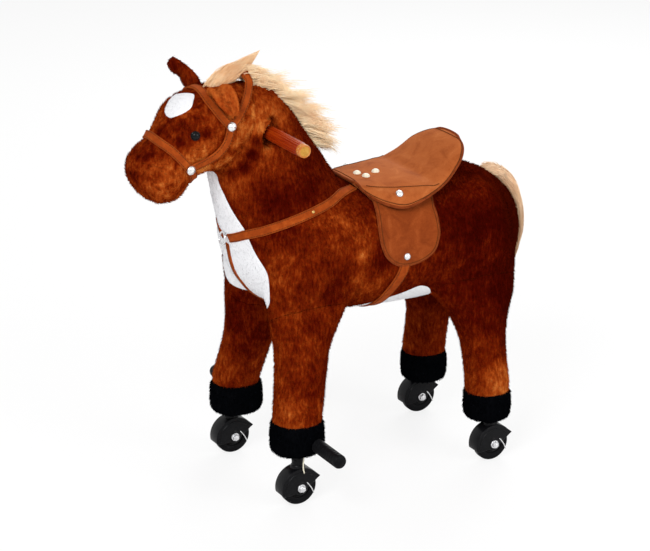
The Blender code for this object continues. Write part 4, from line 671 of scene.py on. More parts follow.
domeProfile = (  # shares of the stud's size
    (0, -0.0012), (1.0, -0.0012), (1.0, 0.15), (0.94, 0.32), (0.78, 0.52), (0.5, 0.70), (0.2, 0.78), (0, 0.79))


def studded(name, seats, finish, size, sides=28):
    # domed studs; seats are points with the way each stud faces
    shape = bmesh.new()
    layer = shape.verts.layers.float_vector.new("facing")
    for seat, facing in seats:
        shape.verts.new(seat)[layer] = facing
    stud = linked("studPattern", meshOf(lathed(domeProfile, sides)))
    mesh = grown(meshOf(shape), studTree, {"Stud": stud, "Size": size, "Finish": finish})
    bpy.data.objects.remove(stud)
    return finished(name, mesh, finish, "body", sharp=50)


# Stuffed forms; the stations are shares of each form's own length, width and height

bodyShape = {
    "chest": shoulder.y - 0.069, "rump": hip.y + 0.0985, "low": 0.251, "high": 0.4535, "width": 0.214,
    "stations": (  # share from chest to rump, width, bottom, top, fullness
        (0.000, 0.00, 0.72, 0.72, 2.0), (0.016, 0.37, 0.52, 0.92, 2.0), (0.055, 0.67, 0.33, 0.98, 2.1),
        (0.125, 0.88, 0.18, 1.03, 2.2), (0.220, 0.97, 0.09, 1.05, 2.2), (0.360, 0.97, 0.05, 1.00, 2.2),
        (0.500, 0.95, 0.03, 0.96, 2.2), (0.640, 0.96, 0.03, 0.96, 2.2), (0.775, 0.98, 0.05, 0.98, 2.2),
        (0.875, 0.83, 0.08, 0.915, 2.1), (0.945, 0.58, 0.13, 0.795, 2.0), (0.982, 0.36, 0.25, 0.67, 2.0),
        (1.000, 0.00, 0.50, 0.50, 2.0)),
}
neckShape = {
    "behind": 0.022, "height": 0.4145, "lean": 23.5, "length": 0.212, "width": 0.170, "depth": 0.184,
    "stations": (  # share from the chest to the poll, width, depth
        (-0.25, 0.70, 0.80), (0.00, 0.98, 1.00), (0.22, 0.86, 0.96), (0.46, 0.715, 0.86), (0.70, 0.600, 0.76),
        (0.90, 0.48, 0.57), (1.00, 0.32, 0.34)),
}
headShape = {
    "behind": 0.0175, "below": 0.0244, "slope": 24.8, "length": 0.193, "width": 0.106, "depth": 0.130,
    "stations": (  # share from the poll to the nose, width, jaw, brow, fullness
        (-0.10, 0.50, -0.30, 0.42, 2.1), (-0.02, 0.80, -0.52, 0.60, 2.2), (0.10, 0.94, -0.76, 0.78, 2.3),
        (0.22, 0.99, -0.88, 0.88, 2.4), (0.38, 1.00, -0.88, 0.97, 2.4), (0.51, 0.95, -0.74, 0.91, 2.3),
        (0.62, 0.86, -0.74, 0.69, 2.15), (0.74, 0.88, -0.93, 0.51, 2.15), (0.86, 0.84, -0.88, 0.43, 2.15),
        (0.95, 0.62, -0.66, 0.25, 2.1), (0.99, 0.30, -0.36, 0.00, 2.0), (1.00, 0.00, -0.16, -0.16, 2.0)),
}
legShapes = {  # stations: share from the foot to the head, width, depth, then the way inwards and along
    "front": {
        "foot": (0.099, axles["front_left"].y + 0.004), "low": 0.1268, "top": 0.2925, "depth": 0.074,
        "head": (0.070, axles["front_left"].y + 0.036), "width": 0.066,
        "stations": (
            (-0.10, 0.94, 0.92, 0.00, 0.00), (0.00, 1.00, 0.97, 0.00, 0.00), (0.15, 1.00, 1.00, 0.18, 0.16),
            (0.45, 1.03, 1.05, 0.56, 0.48), (0.65, 1.06, 1.14, 0.72, 0.62), (0.82, 1.08, 1.42, 0.88, 0.84),
            (1.00, 1.08, 1.68, 1.00, 1.08), (1.35, 1.00, 1.60, 1.15, 1.10), (1.55, 0.60, 1.10, 1.15, 1.10))},
    "rear": {
        "foot": (0.094, axles["rear_left"].y + 0.001), "low": 0.1123, "top": 0.2845, "depth": 0.064,
        "head": (0.068, axles["rear_left"].y - 0.016), "width": 0.066,
        "stations": (
            (-0.10, 0.92, 0.96, 0.00, 0.00), (0.00, 0.98, 1.02, 0.00, 0.00), (0.25, 0.98, 1.02, 0.30, 0.02),
            (0.48, 1.00, 1.12, 0.64, 0.08), (0.70, 1.04, 1.54, 0.82, 0.34), (0.85, 1.06, 2.00, 0.92, 0.60),
            (1.00, 1.06, 2.28, 1.00, 1.00), (1.30, 0.96, 2.34, 1.15, 1.00), (1.60, 0.60, 1.50, 1.15, 1.00))},
}
skinShape = {
    "grow": 0.001, "coarse": 0.0042, "fine": 0.0038, "rounds": 9,
    "balls": (  # centre, radii and turn of the padding over the shoulder and the hip
        ((0.066, shoulder.y + 0.018, 0.338), (0.0445, 0.058, 0.082), -8),
        ((0.064, hip.y - 0.005, 0.342), (0.046, 0.061, 0.098), 4)),
}
slitShape = {  # the slit for the handle: its ends in y and z, its cut in x, and the lip behind it
    "low": (-0.1430, 0.5335), "high": (-0.1215, 0.5745), "wide": 0.026, "cut": (0.030, 0.12),
    "lip": 0.0048, "lipOut": 0.0575, "lipFront": 0.004,
}
grooves = {  # points in mm on the left side, depth and width in metres
    "jaw": (((52, -163, 566), (53, -165, 546), (50, -170, 527), (44, -178, 512), (32, -189, 502),
             (14, -197, 494)), 0.0045, 0.0085),
    "shoulder": (((75, 8.5, 427), (95, 9, 401), (103.4, 4.3, 372), (103.7, -7.4, 342), (92, -12, 310),
                  (77, -12.5, 288)), 0.0018, 0.0045),
    "cheek": (((23.5, -293.6, 553.5), (35.7, -293, 540), (39, -309, 520), (28, -313, 485), (12, -300, 466)),
              0.0016, 0.0028),
}


def bodyForm(grow):
    s = bodyShape
    tall, long = s["high"] - s["low"], s["rump"] - s["chest"]
    rings = []
    for share, width, bottom, top, fullness in smoothRows(s["stations"], 44, 0.75):
        centre = Vector((0, s["chest"] + share * long, s["low"] + tall * (bottom + top) / 2))
        wide, high = width * s["width"] / 2 + grow, tall * (top - bottom) / 2 + grow
        rings.append(ovalRing(centre, across, upward, wide, high, 48, fullness))
    return skinOver(rings)


def neckFrame():
    lean = math.radians(neckShape["lean"])
    along = Vector((0, -math.sin(lean), math.cos(lean)))
    behind = Vector((0, math.cos(lean), math.sin(lean)))
    return Vector((0, shoulder.y + neckShape["behind"], neckShape["height"])), along, behind


def neckForm(grow):
    base, along, behind = neckFrame()
    rings = []
    for share, width, depth in smoothRows(neckShape["stations"], 26, 0.3):
        rings.append(ovalRing(base + along * share * neckShape["length"], across, behind,
                              width * neckShape["width"] / 2 + grow, depth * neckShape["depth"] / 2 + grow, 40))
    return skinOver(rings)


def crestPoint(share, outward=0.0):
    base, along, behind = neckFrame()
    rows = numpy.array(neckShape["stations"])
    depth = float(numpy.interp(share, rows[:, 0], rows[:, 2]))
    return base + along * share * neckShape["length"] + behind * (depth * neckShape["depth"] / 2 + outward)


def headForm(grow):
    s = headShape
    slope, half = math.radians(s["slope"]), s["depth"] / 2
    base, up, _ = neckFrame()
    start = base + up * neckShape["length"] + backward * s["behind"] - upward * s["below"]
    along = Vector((0, -math.cos(slope), -math.sin(slope)))
    rise = Vector((0, -math.sin(slope), math.cos(slope)))
    rings = []
    for share, width, jaw, brow, fullness in smoothRows(s["stations"], 48, 0.7):
        centre = start + along * share * s["length"] + rise * ((jaw + brow) / 2 * half)
        wide, high = width * s["width"] / 2 + grow, (brow - jaw) / 2 * half + grow
        rings.append(ovalRing(centre, across, rise, wide, high, 40, fullness))
    return skinOver(rings)


def legForm(which, side, grow):
    s = legShapes[which]
    rings = []
    for share, width, depth, inward, along in smoothRows(s["stations"], 30, 0.2):
        centre = Vector((side * (s["foot"][0] + (s["head"][0] - s["foot"][0]) * inward),
                         s["foot"][1] + (s["head"][1] - s["foot"][1]) * along,
                         s["low"] + (s["top"] - s["low"]) * share))
        wide, deep = width * s["width"] / 2 + grow, depth * s["depth"] / 2 + grow
        rings.append(ovalRing(centre, across, backward, wide, deep, 32, 2.1))
    return skinOver(rings)


def ballForm(centre, radii, turn):
    shape = bmesh.new()
    bmesh.ops.create_uvsphere(shape, u_segments=32, v_segments=20, radius=1.0)
    turned = Matrix.Rotation(math.radians(turn), 4, "X")
    stance = Matrix.Translation(centre) @ turned @ Matrix.Diagonal((*radii, 1))
    bmesh.ops.transform(shape, matrix=stance, verts=shape.verts)
    return shape


def tubeForm(points, radius, sides=10):
    side = (points[1] - points[0]).orthogonal().normalized()
    rings = []
    for i, point in enumerate(points):
        along = alongAt(points, i)
        side = squareTo(along, side)
        rings.append(ovalRing(point, side, along.cross(side), radius, radius, sides))
    return skinOver(rings)


def slitRing(x, growth=0.0):
    s = slitShape
    low, high = Vector((0, *s["low"])), Vector((0, *s["high"]))
    along = (high - low).normalized()
    return ovalRing((low + high) / 2 + across * x, along.cross(across), along, s["wide"] / 2 + growth,
                    (high - low).length / 2 + growth, 28)


def lipForm(side):
    # the welt round the back of the slit
    s = slitShape
    ring = [point for point in slitRing(0.0, s["lip"] / 2) if (point - handle).y < s["lipFront"]]
    ring.sort(key=lambda point: point.z)
    line = [Vector((side * s["lipOut"], point.y, point.z)) for point in ring]
    return tubeForm(smoothPath(line, 20), s["lip"])


def makeSkin(s):
    # body, neck and legs as one smooth stuffed skin
    forms = [bodyForm(s["grow"]), neckForm(s["grow"])]
    for side, _ in halves:
        forms += [legForm(which, side, s["grow"]) for which in legShapes]
        forms += [ballForm((side * x, y, z), radii, turn) for (x, y, z), radii, turn in s["balls"]]
        forms.append(lipForm(side))
    mesh = remeshed(joined(forms), s["coarse"])
    mesh = cutBy(mesh, [skinOver([slitRing(side * x) for x in slitShape["cut"]]) for side, _ in halves])
    return relaxed(remeshed(mesh, s["fine"]), s["rounds"])


skinMesh = makeSkin(skinShape)
headMesh = stuffed(headForm(0.0008), 0.0025, 8)
for side, _ in halves:
    for name, (path, depth, width) in grooves.items():
        carved(headMesh if name == "cheek" else skinMesh, onSide(path, side), depth, width)
skinTree, headTree = surfaceOf(skinMesh), surfaceOf(headMesh)
print("skin has", len(skinMesh.polygons), "faces")


# Torso, legs and head, parted where the legs swing

def cutAway(mesh, planes, cap):
    # keeps what lies behind every plane; with a cap the cut is closed
    shape = bmesh.new()
    shape.from_mesh(mesh)
    for point, facing in planes:
        whole = list(shape.verts) + list(shape.edges) + list(shape.faces)
        bmesh.ops.bisect_plane(shape, geom=whole, plane_co=point, plane_no=facing, clear_outer=True)
        rim = [edge for edge in shape.edges if edge.is_boundary]
        if cap and rim:
            bmesh.ops.triangle_fill(shape, edges=rim, use_beauty=True, normal=facing)
    return meshOf(shape)


def keepFacing(mesh, source):
    # shades a cut piece as the whole skin it came from
    found = KDTree(len(source.vertices))
    for i, vert in enumerate(source.vertices):
        found.insert(vert.co, i)
    found.balance()
    facings = []
    for vert in mesh.vertices:
        total = Vector((0, 0, 0))
        for _, i, away in found.find_n(vert.co, 3):
            total += source.vertices[i].normal / (away + 1e-5)
        facings.append(total.normalized())
    mesh.normals_split_custom_set_from_vertices(facings)


legSeam = {"slope": 30.6, "out": 0.030, "height": 0.255, "blend": 0.065, "middle": 0.05, "underCuff": 0.006}


def legPlane(side):
    slope = math.radians(legSeam["slope"])
    start = Vector((side * legSeam["out"], 0, legSeam["height"]))
    return start, Vector((side * math.sin(slope), 0, -math.cos(slope)))


def blendLeg(piece, body, side):
    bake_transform(piece)


pile = {"Density": 90000, "Length": 0.0038, "Width": 0.00045, "Lean": 0.60, "Swirl": 2.4,
        "Comb": (0.0, 0.25, -1.0)}
pileJobs = []  # name, bare skin, finish, settings, seed and, on a leg, its body and side
torsoMesh = torsoBare = skinMesh
for side, _ in halves:
    torsoMesh = cutAway(torsoMesh, [legPlane(side)], True)
    torsoBare = cutAway(torsoBare, [legPlane(side)], False)
keepFacing(torsoMesh, skinMesh)
finished("torsoSkin", torsoMesh, chestnutPlush, "body", ("body_plush", "neck_plush"), sharp=0)
pileJobs.append(("torsoPile", torsoBare, chestnutPile, pile, 3, None))
for which, body in legBodies.items():
    towards = backward if which == "front" else -backward
    for side, label in halves:
        start, facing = legPlane(side)
        foot = upward * (legShapes[which]["low"] - legSeam["underCuff"])
        planes = [(start, -facing), (Vector((0, 0, 0)), across * -side),
                  (backward * legSeam["middle"], towards), (foot, -upward)]
        leg = cutAway(skinMesh, planes, True)
        keepFacing(leg, skinMesh)
        made = finished(f"legSkin_{which}_{label}", leg, chestnutPlush, None,
                        (f"leg_{which}_{label}",), sharp=0)
        blendLeg(made, body, side)
        bare = cutAway(skinMesh, planes, False)
        pileJobs.append((f"legPile_{which}_{label}", bare, chestnutPile, pile, 11, (body, side)))
finished("headSkin", headMesh, headPlush, "body", ("head_plush",), sharp=0)
pileJobs.append(("headPile", headMesh, headFinish, dict(pile, Comb=(0.0, 0.9, 0.35)), 5, None))
print("torso, legs and head ready")


# Ears and eyes

def widthsAt(share, widths):
    # half width and half depth in metres, from rows in mm spaced evenly along a path
    shares = numpy.linspace(0, 1, len(widths))
    return [float(numpy.interp(share, shares, [row[k] for row in widths])) / 1000 for k in (0, 1)]


def earForm(points, sizes, side, dent, count=30, sides=28):
    # a leaf of doubled plush, hollowed along one face
    line = smoothPath(points, count)
    rings = []
    for i, point in enumerate(line):
        along = alongAt(line, i)
        wide = squareTo(along, side)
        deep = along.cross(wide)
        w, d = widthsAt(i / (count - 1), sizes)
        ring = []
        for k in range(sides):
            angle = math.tau * (k + 0.5) / sides
            out = math.sin(angle) * d
            if out > 0:
                out -= dent * d * math.exp(-(math.cos(angle) / 0.55) ** 2)
            ring.append(point + wide * math.cos(angle) * w + deep * out)
        rings.append(ring)
    return skinOver(rings)


earShapes = {
    "left": {
        "points": ((24, -208, 612), (33, -210, 625), (47, -207, 625), (58, -202, 612), (62, -196, 598),
                   (60, -192, 588)),
        "sizes": ((9, 7), (13, 9), (17, 9), (17, 8), (12, 7), (5, 4)), "side": (0, 1, 0.1), "dent": 1.5,
        "skin": earPlush, "pile": earPlush},
    "right": {
        "points": ((-30, -206, 604), (-41, -212, 622), (-45, -220, 635), (-48, -228, 641), (-51, -234, 647),
                   (-54, -238, 651)),
        "sizes": ((11, 9), (16, 13), (15, 13), (12, 11), (15, 12), (10, 8)), "side": (1, 0, 0.2), "dent": 0.9,
        "skin": chestnutPlush, "pile": chestnutPile},
}
earPile = dict(pile, Density=110000, Length=0.0032, Comb=(0.2, 0.3, -0.6))
for label, s in earShapes.items():
    ear = stuffed(earForm(onSide(s["points"]), s["sizes"], Vector(s["side"]), s["dent"]), 0.0014, 2)
    finished(f"earSkin_{label}", ear, s["skin"], "body", (f"ear_{label}",), sharp=0)
    addPile(f"earPile_{label}", ear, s["pile"], "body", earPile, 21)


def stand(shape, where, facing):
    turn = Vector(facing).to_track_quat("Z", "Y").to_matrix().to_4x4()
    bmesh.ops.transform(shape, matrix=Matrix.Translation(where) @ turn, verts=shape.verts)
    return shape


eyeShape = {"where": (50, -250, 566.4), "radius": 0.0061, "rise": 0.0046, "rim": 0.0067}


def eyeForm(s, seat, facing):
    # a domed bead in a thin rim
    bead, rim = s["radius"], s["rim"]
    arc = [(bead * math.cos(a), s["rise"] * math.sin(a)) for a in [math.radians(d) for d in range(0, 90, 9)]]
    dome = lathed([(0, -0.004), (bead * 0.9, -0.004), (bead, -0.0005)] + arc + [(0, s["rise"])], 32)
    welt = lathed([(0, -0.003), (rim, -0.003), (rim * 1.03, 0.0004), (rim * 0.97, 0.0011), (bead * 0.9, 0.0013),
                   (0, 0.0012)], 32)
    return joined([stand(dome, seat, facing), stand(welt, seat, facing)])


for side, label in halves:
    seat, facing = onto(headTree, onSide([eyeShape["where"]], side)[0])
    finished(f"eyeDome_{label}", eyeForm(eyeShape, seat, facing), plain["eyeBlack"], "body",
             (f"eye_{label}",), sharp=50)


# White patches

def patchOn(tree, outline, aim, thick, rings, sides, lift=0.0, firm=0.85):
    # a sewn-on piece that fills an outline and lies on a skin, looked at along aim
    edge = smoothPath(outline, sides + 1, True)[:-1]
    heart = sum(edge, Vector()) / len(edge)
    aim, sink = Vector(aim).normalized(), 0.0012
    top, under = [], []
    for k in range(rings):
        share = 0.02 + 0.98 * (k / (rings - 1)) ** 0.8
        crown = math.sqrt(max(1 - (max(share - firm, 0) / (1 - firm)) ** 2, 0.0))
        upper, lower = [], []
        for point in edge:
            want = heart.lerp(point, share)
            found, facing, _, _ = tree.ray_cast(want - aim * 0.25, aim)
            if found is None:
                found, facing = onto(tree, want)
            upper.append(found + facing * (lift + thick * (0.25 + 0.75 * crown)))
            lower.append(found - facing * sink)
        top.append(upper)
        under.append(lower)
    return skinOver(top + under[::-1]), top[-1]


def wholeOutline(half):
    # from the left half's points, whose first and last are in the middle
    return onSide(half) + onSide(half[-2:0:-1], -1)


star = onSide(((-7.6, -245, 612.4), (2.3, -238.8, 614.7), (14.6, -233.9, 614.9), (26.7, -241.4, 608.7),
               (32.9, -249.2, 601.1), (29.6, -263.2, 593.6), (17.9, -273.2, 587.7), (2.4, -273.5, 591.1),
               (-5.5, -267.4, 599.0), (-14.3, -251.2, 608.7)))
bib = wholeOutline([(x, -200, z) for x, z in (
    (0, 500), (12, 494), (20, 470), (30, 440), (43, 412), (58, 384), (70, 352), (74, 322), (66, 300), (36, 286),
    (0, 281))])
belly = wholeOutline([(x, y, 260) for x, y in (
    (0, -2), (40, 4), (64, 30), (82, 76), (87, 99), (76, 121), (49, 131), (0, 135))])
whitePatches = {  # skin, outline, the way it is looked at, thickness, rings, sides, and the node it replaces
    "star": (headTree, star, (-0.15, 0.62, -0.77), 0.0016, 12, 80, ()),
    "chestBib": (skinTree, bib, (0, 1, 0), 0.0014, 30, 150, ("chest_bib",)),
    "bellyPanel": (skinTree, belly, (0, 0, 1), 0.0014, 26, 140, ()),
}
whitePile = {"Density": 70000, "Length": 0.0026, "Width": 0.0004, "Lean": 0.72, "Swirl": 1.6,
             "Comb": (0.0, 0.0, -1.0)}
covers = {}  # what the pile keeps clear of
for name, (*look, replaced) in whitePatches.items():
    patch, _ = patchOn(*look)
    covers[name] = finished(name, meshOf(patch), whitePlush, "body", replaced)
for k, (name, item) in enumerate(covers.items()):
    addPile(name + "Pile", item.data, whitePlush, "body", whitePile, 40 + k)


# Hoof cuffs

cuffShifts = {  # mm that the lower and the upper edge stand above the node's own
    ("front", "left"): (3, 3.5), ("front", "right"): (-3, -4),
    ("rear", "left"): (-1, 0), ("rear", "right"): (-3, 1)}
cuffStations = ((0.0, 0.70), (0.02, 0.84), (0.07, 0.94), (0.16, 1.0), (0.40, 1.02), (0.70, 1.01), (0.88, 1.0),
                (0.96, 0.96), (1.0, 0.86))  # share of the height, share of the width
cuffPile = {"Density": 120000, "Length": 0.0036, "Width": 0.0005, "Lean": 0.62, "Swirl": 1.6,
            "Comb": (0, 0, -1)}
for (which, label), (drop, reach) in cuffShifts.items():
    low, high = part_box(f"hoof_{which}_{label}")
    low, high = low + upward * drop / 1000, high + upward * reach / 1000
    centre, half = (low + high) / 2, (high - low) / 2
    rings = []
    for share, wide in cuffStations:
        here = Vector((centre.x, centre.y, low.z + (high.z - low.z) * share))
        rings.append(ovalRing(here, across, backward, half.x * wide, half.y * wide, 40, 2.15))
    cuff = stuffed(skinOver(rings), 0.0026, 4)
    body, node = legBodies[which], f"hoof_{which}_{label}"
    finished(f"hoofCuff_{which}_{label}", cuff, blackPlush, body, (node,), sharp=0)
    addPile(f"hoofPile_{which}_{label}", cuff, blackPlush, body, cuffPile, 31)
print("ears, eyes, patches and hooves ready")


# Hair

def lockLine(root, tip, bend, steps):
    # one hair, bent by a vector at its middle
    middle = (root + tip) / 2 + bend
    made = []
    for i in range(steps + 1):
        t = i / steps
        made.append(root * (1 - t) ** 2 + middle * 2 * t * (1 - t) + tip * t * t)
    return made


def bundleLines(s, path):
    # hairs that run along one path and keep their place in the bundle
    rnd = random.Random(s["seed"])
    line, last = smoothPath(path, 60), 59
    lines = []
    for _ in range(s["count"]):
        angle, far = rnd.random() * math.tau, math.sqrt(rnd.random())
        start, end = rnd.random() * 0.18, 1 - s["ragged"] * rnd.random() ** 1.6 * (0.3 + 0.7 * far)
        wave, phase = rnd.gauss(0, s["loose"]), rnd.random() * math.tau
        made = []
        for i in range(s["steps"] + 1):
            t = start + (end - start) * i / s["steps"]
            k = min(int(t * last), last - 1)
            point = line[k].lerp(line[k + 1], t * last - k)
            along = (line[k + 1] - line[k]).normalized()
            wide = squareTo(along, across)
            w, d = widthsAt(t, s["radii"])
            sway = wave * min(1.0, 2.5 * (1 - t))  # gone at the tip
            made.append(point + wide * (math.cos(angle) * far * w + sway * math.sin(t * 7 + phase))
                        + along.cross(wide) * (math.sin(angle) * far * d + sway * math.cos(t * 6 + phase)))
        lines.append(made)
    return lines


def bundleCore(s, path):
    # a closed core that keeps light from showing through
    count, sides = s["coreRings"], s["coreSides"]
    line = smoothPath(path, count)
    rings = []
    for i, point in enumerate(line):
        t = i / (count - 1)
        along = alongAt(line, i)
        wide = squareTo(along, across)
        w, d = [size * s["core"] * (1 - 0.5 * t) for size in widthsAt(t, s["radii"])]
        rings.append(ovalRing(point, wide, along.cross(wide), w, d, sides))
    return skinOver(rings)


maneShape = {
    "from": 0.33, "to": 1.10, "clumps": 84, "hairs": 34, "half": 0.010, "sink": 0.005, "long": (0.050, 0.070),
    "lean": ((0, 0.93, -0.36), (0, 0.98, -0.06)), "steps": 6, "seed": 7, "radius": 0.00042, "tip": 0.25,
    "core": (  # share of the neck, then height over the crest, half width and half height in mm
        (0.33, 0, 3, 5), (0.42, 8, 9, 13), (0.55, 10, 11, 17), (0.72, 11, 10, 18), (0.90, 11, 9, 17),
        (1.02, 9, 8, 14), (1.10, 5, 5, 8)),
}


def maneLines(s):
    # clumps along the crest, each a fan of hairs
    rnd = random.Random(s["seed"])
    short, long = s["long"]
    lines = []
    for clump in range(s["clumps"]):
        t = (clump + rnd.random()) / s["clumps"]
        share = s["from"] + (s["to"] - s["from"]) * t
        x = rnd.uniform(-1, 1) * s["half"]
        reach = (long + (short - long) * max(t - 0.3, 0) / 0.7) * rnd.uniform(0.72, 1.12)
        if t < 0.12:
            reach *= 0.6 + 0.4 * t / 0.12
        lean = Vector(s["lean"][0]).lerp(Vector(s["lean"][1]), t) + across * x * 22
        lean = (lean + Vector((rnd.gauss(0, 0.10), rnd.gauss(0, 0.08), rnd.gauss(0, 0.15)))).normalized()
        root = crestPoint(share, -s["sink"]) + across * x
        tip = root + lean * reach
        bend = upward * rnd.uniform(0.004, 0.011) + across * rnd.gauss(0, 0.002)
        for _ in range(s["hairs"]):
            near = across * rnd.gauss(0, 0.0042)
            near += crestPoint(share + rnd.gauss(0, 0.022), -s["sink"]) - crestPoint(share, -s["sink"])
            far = Vector((rnd.gauss(0, 0.0032), rnd.gauss(0, 0.004), rnd.gauss(0, 0.0036)))
            part = rnd.uniform(0.62, 1.0)
            stray = Vector((rnd.gauss(0, 0.0015), 0, rnd.gauss(0, 0.0015)))
            end = root + near + (tip + far - root - near) * part
            lines.append(lockLine(root + near, end, bend * part + stray, s["steps"]))
    return lines


def maneCore(s):
    _, along, behind = neckFrame()
    rise = (behind - along * 0.5).normalized()
    rings = [ovalRing(crestPoint(share, out / 1000), across, rise, wide / 1000, high / 1000, 20)
             for share, out, wide, high in s["core"]]
    return stuffed(skinOver(rings), 0.003, 4)


s = maneShape
mane = joined([hairOf(maneLines(s), s["radius"], s["tip"], blondeHair), maneCore(s)])
finished("maneHair", mane, blondeHair, "body", ("mane",), sharp=0)

bundles = {  # path in mm, half width and half depth in mm along it, and the hairs
    "forelock": {
        "path": ((0, -209, 608), (1, -199, 619), (0, -176, 632), (0, -149, 644), (0, -122.5, 662)),
        "radii": ((8, 5), (12, 9), (12, 10.5), (6, 5.5), (0.3, 0.3)), "count": 2000, "steps": 8, "seed": 5,
        "ragged": 0.42, "loose": 0.0022, "radius": 0.00042, "finish": forelockFinish,
        "core": 0.74, "coreRings": 24, "coreSides": 20},
    "tail": {
        "path": ((0, 252, 420), (0, 272, 427), (0, 293, 410), (0, 309, 374), (0, 314, 335), (0, 311, 300),
                 (0, 306, 260)),
        "radii": ((12, 7), (20, 11), (25, 13), (26, 13), (24, 12), (18, 10), (6, 4)), "count": 2300,
        "steps": 12, "seed": 9, "ragged": 0.28, "loose": 0.0015, "radius": 0.00045, "finish": tailHairFinish,
        "core": 0.86, "coreRings": 30, "coreSides": 24},
}
for name, s in bundles.items():
    path = onSide(s["path"])
    hair = joined([hairOf(bundleLines(s, path), s["radius"], 0.3, s["finish"]), bundleCore(s, path)])
    finished(name + "Hair", hair, s["finish"], "body", (name,), sharp=0)
print("hair ready")


# Straps

def eased(values, closed):
    # each value drawn towards the two beside it
    count = len(values)
    made = []
    for i, value in enumerate(values):
        before = values[i - 1] if closed else values[max(i - 1, 0)]
        after = values[(i + 1) % count] if closed else values[min(i + 1, count - 1)]
        made.append(value * 2 + before + after)
    return made


strapSizes = {
    "bridle": 0.0124, "breast": 0.0136, "chest": 0.0080, "girth": 0.0170,  # widths
    "over": 0.0012, "overBand": 0.0016, "overBridle": 0.0024,  # heights over the skin
    "thick": 0.0020, "spacing": 0.003, "stitchInset": 0.0016, "crownSwell": 0.016, "swellReach": 0.024,
}


def bandOn(tree, path, width, lift, closed=False, swell=0.0):
    # a flat strap laid along a path on a skin, with its two stitch rows; swell lifts it over the middle
    thick, reach = strapSizes["thick"], strapSizes["swellReach"]
    length = sum((a - b).length for a, b in zip(path, path[1:]))
    line = smoothPath(path, max(int(length / strapSizes["spacing"]), 8) + 1, closed)
    if closed:
        line = line[:-1]
    feet, facings = zip(*[onto(tree, point) for point in line])
    for _ in range(3):
        facings = [facing.normalized() for facing in eased(facings, closed)]
        feet = [foot / 4 for foot in eased(feet, closed)]
    half = width / 2
    side = [(half * 0.3, thick * 0.98), (half * 0.72, thick * 1.02), (half * 0.94, thick * 0.92),
            (half * 1.02, thick * 0.45), (half, -0.0004)]
    section = [(-out, rise) for out, rise in side[::-1]] + side
    rings, rows = [], ([], [])
    for i, (foot, facing) in enumerate(zip(feet, facings)):
        along = (line[(i + 1) % len(line)] - line[i - 1]).normalized() if closed else alongAt(line, i)
        out = facing.cross(along).normalized()
        rise = along.cross(out).normalized()
        foot = foot + rise * (lift + swell * math.exp(-(foot.x / reach) ** 2))
        rings.append([foot + out * a + rise * b for a, b in section])
        for row, sign in zip(rows, (-1, 1)):
            row.append(foot + out * sign * (half - strapSizes["stitchInset"]) + rise * (thick * 1.05))
    if closed:
        return hoopOver(rings + [rings[0]]), [row + row[:1] for row in rows]
    return skinOver(rings), list(rows)


cheekRivet, noseRivet = (52.8, -197, 573.5), (43, -258.3, 518.5)
bridlePaths = {  # mm on the left side, the last point in the middle
    "nose": ((0, -300, 564), (22, -295, 558), (41, -282.5, 547), (46, -271, 533.5), noseRivet, (34, -246, 501),
             (16, -240, 489), (0, -239, 486)),
    "brow": (cheekRivet, (50, -210, 588.5), (35.5, -221.7, 608), (18, -222, 616), (0, -221, 619)),
    "crown": (cheekRivet, (51.5, -185.5, 582), (46, -173.5, 597), (30, -160, 611), (12, -151, 622),
              (0, -148, 625)),
    "cheek": (cheekRivet, (53.5, -204, 552), (51, -219, 535.5), (45.4, -243, 524), noseRivet),
}
bodyTree = surfaceOf(joined([skinMesh.copy(), headMesh.copy()]))
wide, over = strapSizes["bridle"], strapSizes["over"]
nose = bridlePaths["nose"]
bands = [bandOn(bodyTree, onSide(nose[:-1]) + onSide(nose[:0:-1], -1), wide, over, closed=True),
         bandOn(bodyTree, throughBoth(bridlePaths["brow"]), wide, over),
         bandOn(bodyTree, throughBoth(bridlePaths["crown"]), wide, over, swell=strapSizes["crownSwell"])]
for side, _ in halves:
    bands.append(bandOn(bodyTree, onSide(bridlePaths["cheek"], side), wide, strapSizes["overBridle"]))
covers["bridleStraps"] = finished("bridleStraps", joined([shape for shape, _ in bands]), strapSuede, "body",
                                  ("bridle",))
stitched("bridleStitches", [row for _, rows in bands for row in rows])

breastPath = ((8, -183, 391), (26, -178, 398), (44, -170, 406.3), (67, -149.5, 416), (80, -116, 427.5),
              (81, -80, 437.3), (71, -46, 444), (52, -12, 452), (40, 12, 457))
chestPath = ((0, -184, 382), (-1, -176, 365), (-1, -168, 345), (0, -158, 322), (0, -143, 300), (0, -122, 280),
             (0, -96, 262), (0, -50, 252), (0, 2, 250))
girthPath = ((96, 62, 345), (100, 58, 330), (97, 50, 312), (88, 42, 296), (70, 36, 276), (45, 32, 262),
             (0, 30, 254))
bands = {  # path, width, lift, the node it replaces
    "breastBand_left": (onSide(breastPath), strapSizes["breast"], over, "breast_strap_left"),
    "breastBand_right": (onSide(breastPath, -1), strapSizes["breast"], over, "breast_strap_right"),
    "chestBand": (onSide(chestPath), strapSizes["chest"], strapSizes["overBand"], "chest_strap"),
    "girthBand": (throughBoth(girthPath), strapSizes["girth"], over, "girth_strap"),
}
stitchRows = []
for name, (path, wide, lift, replaced) in bands.items():
    shape, rows = bandOn(skinTree, path, wide, lift)
    band = finished(name, meshOf(shape), strapSuede, "body", (replaced,))
    stitchRows += rows
    if name != "chestBand":
        covers[name] = band
stitched("strapStitches", stitchRows)


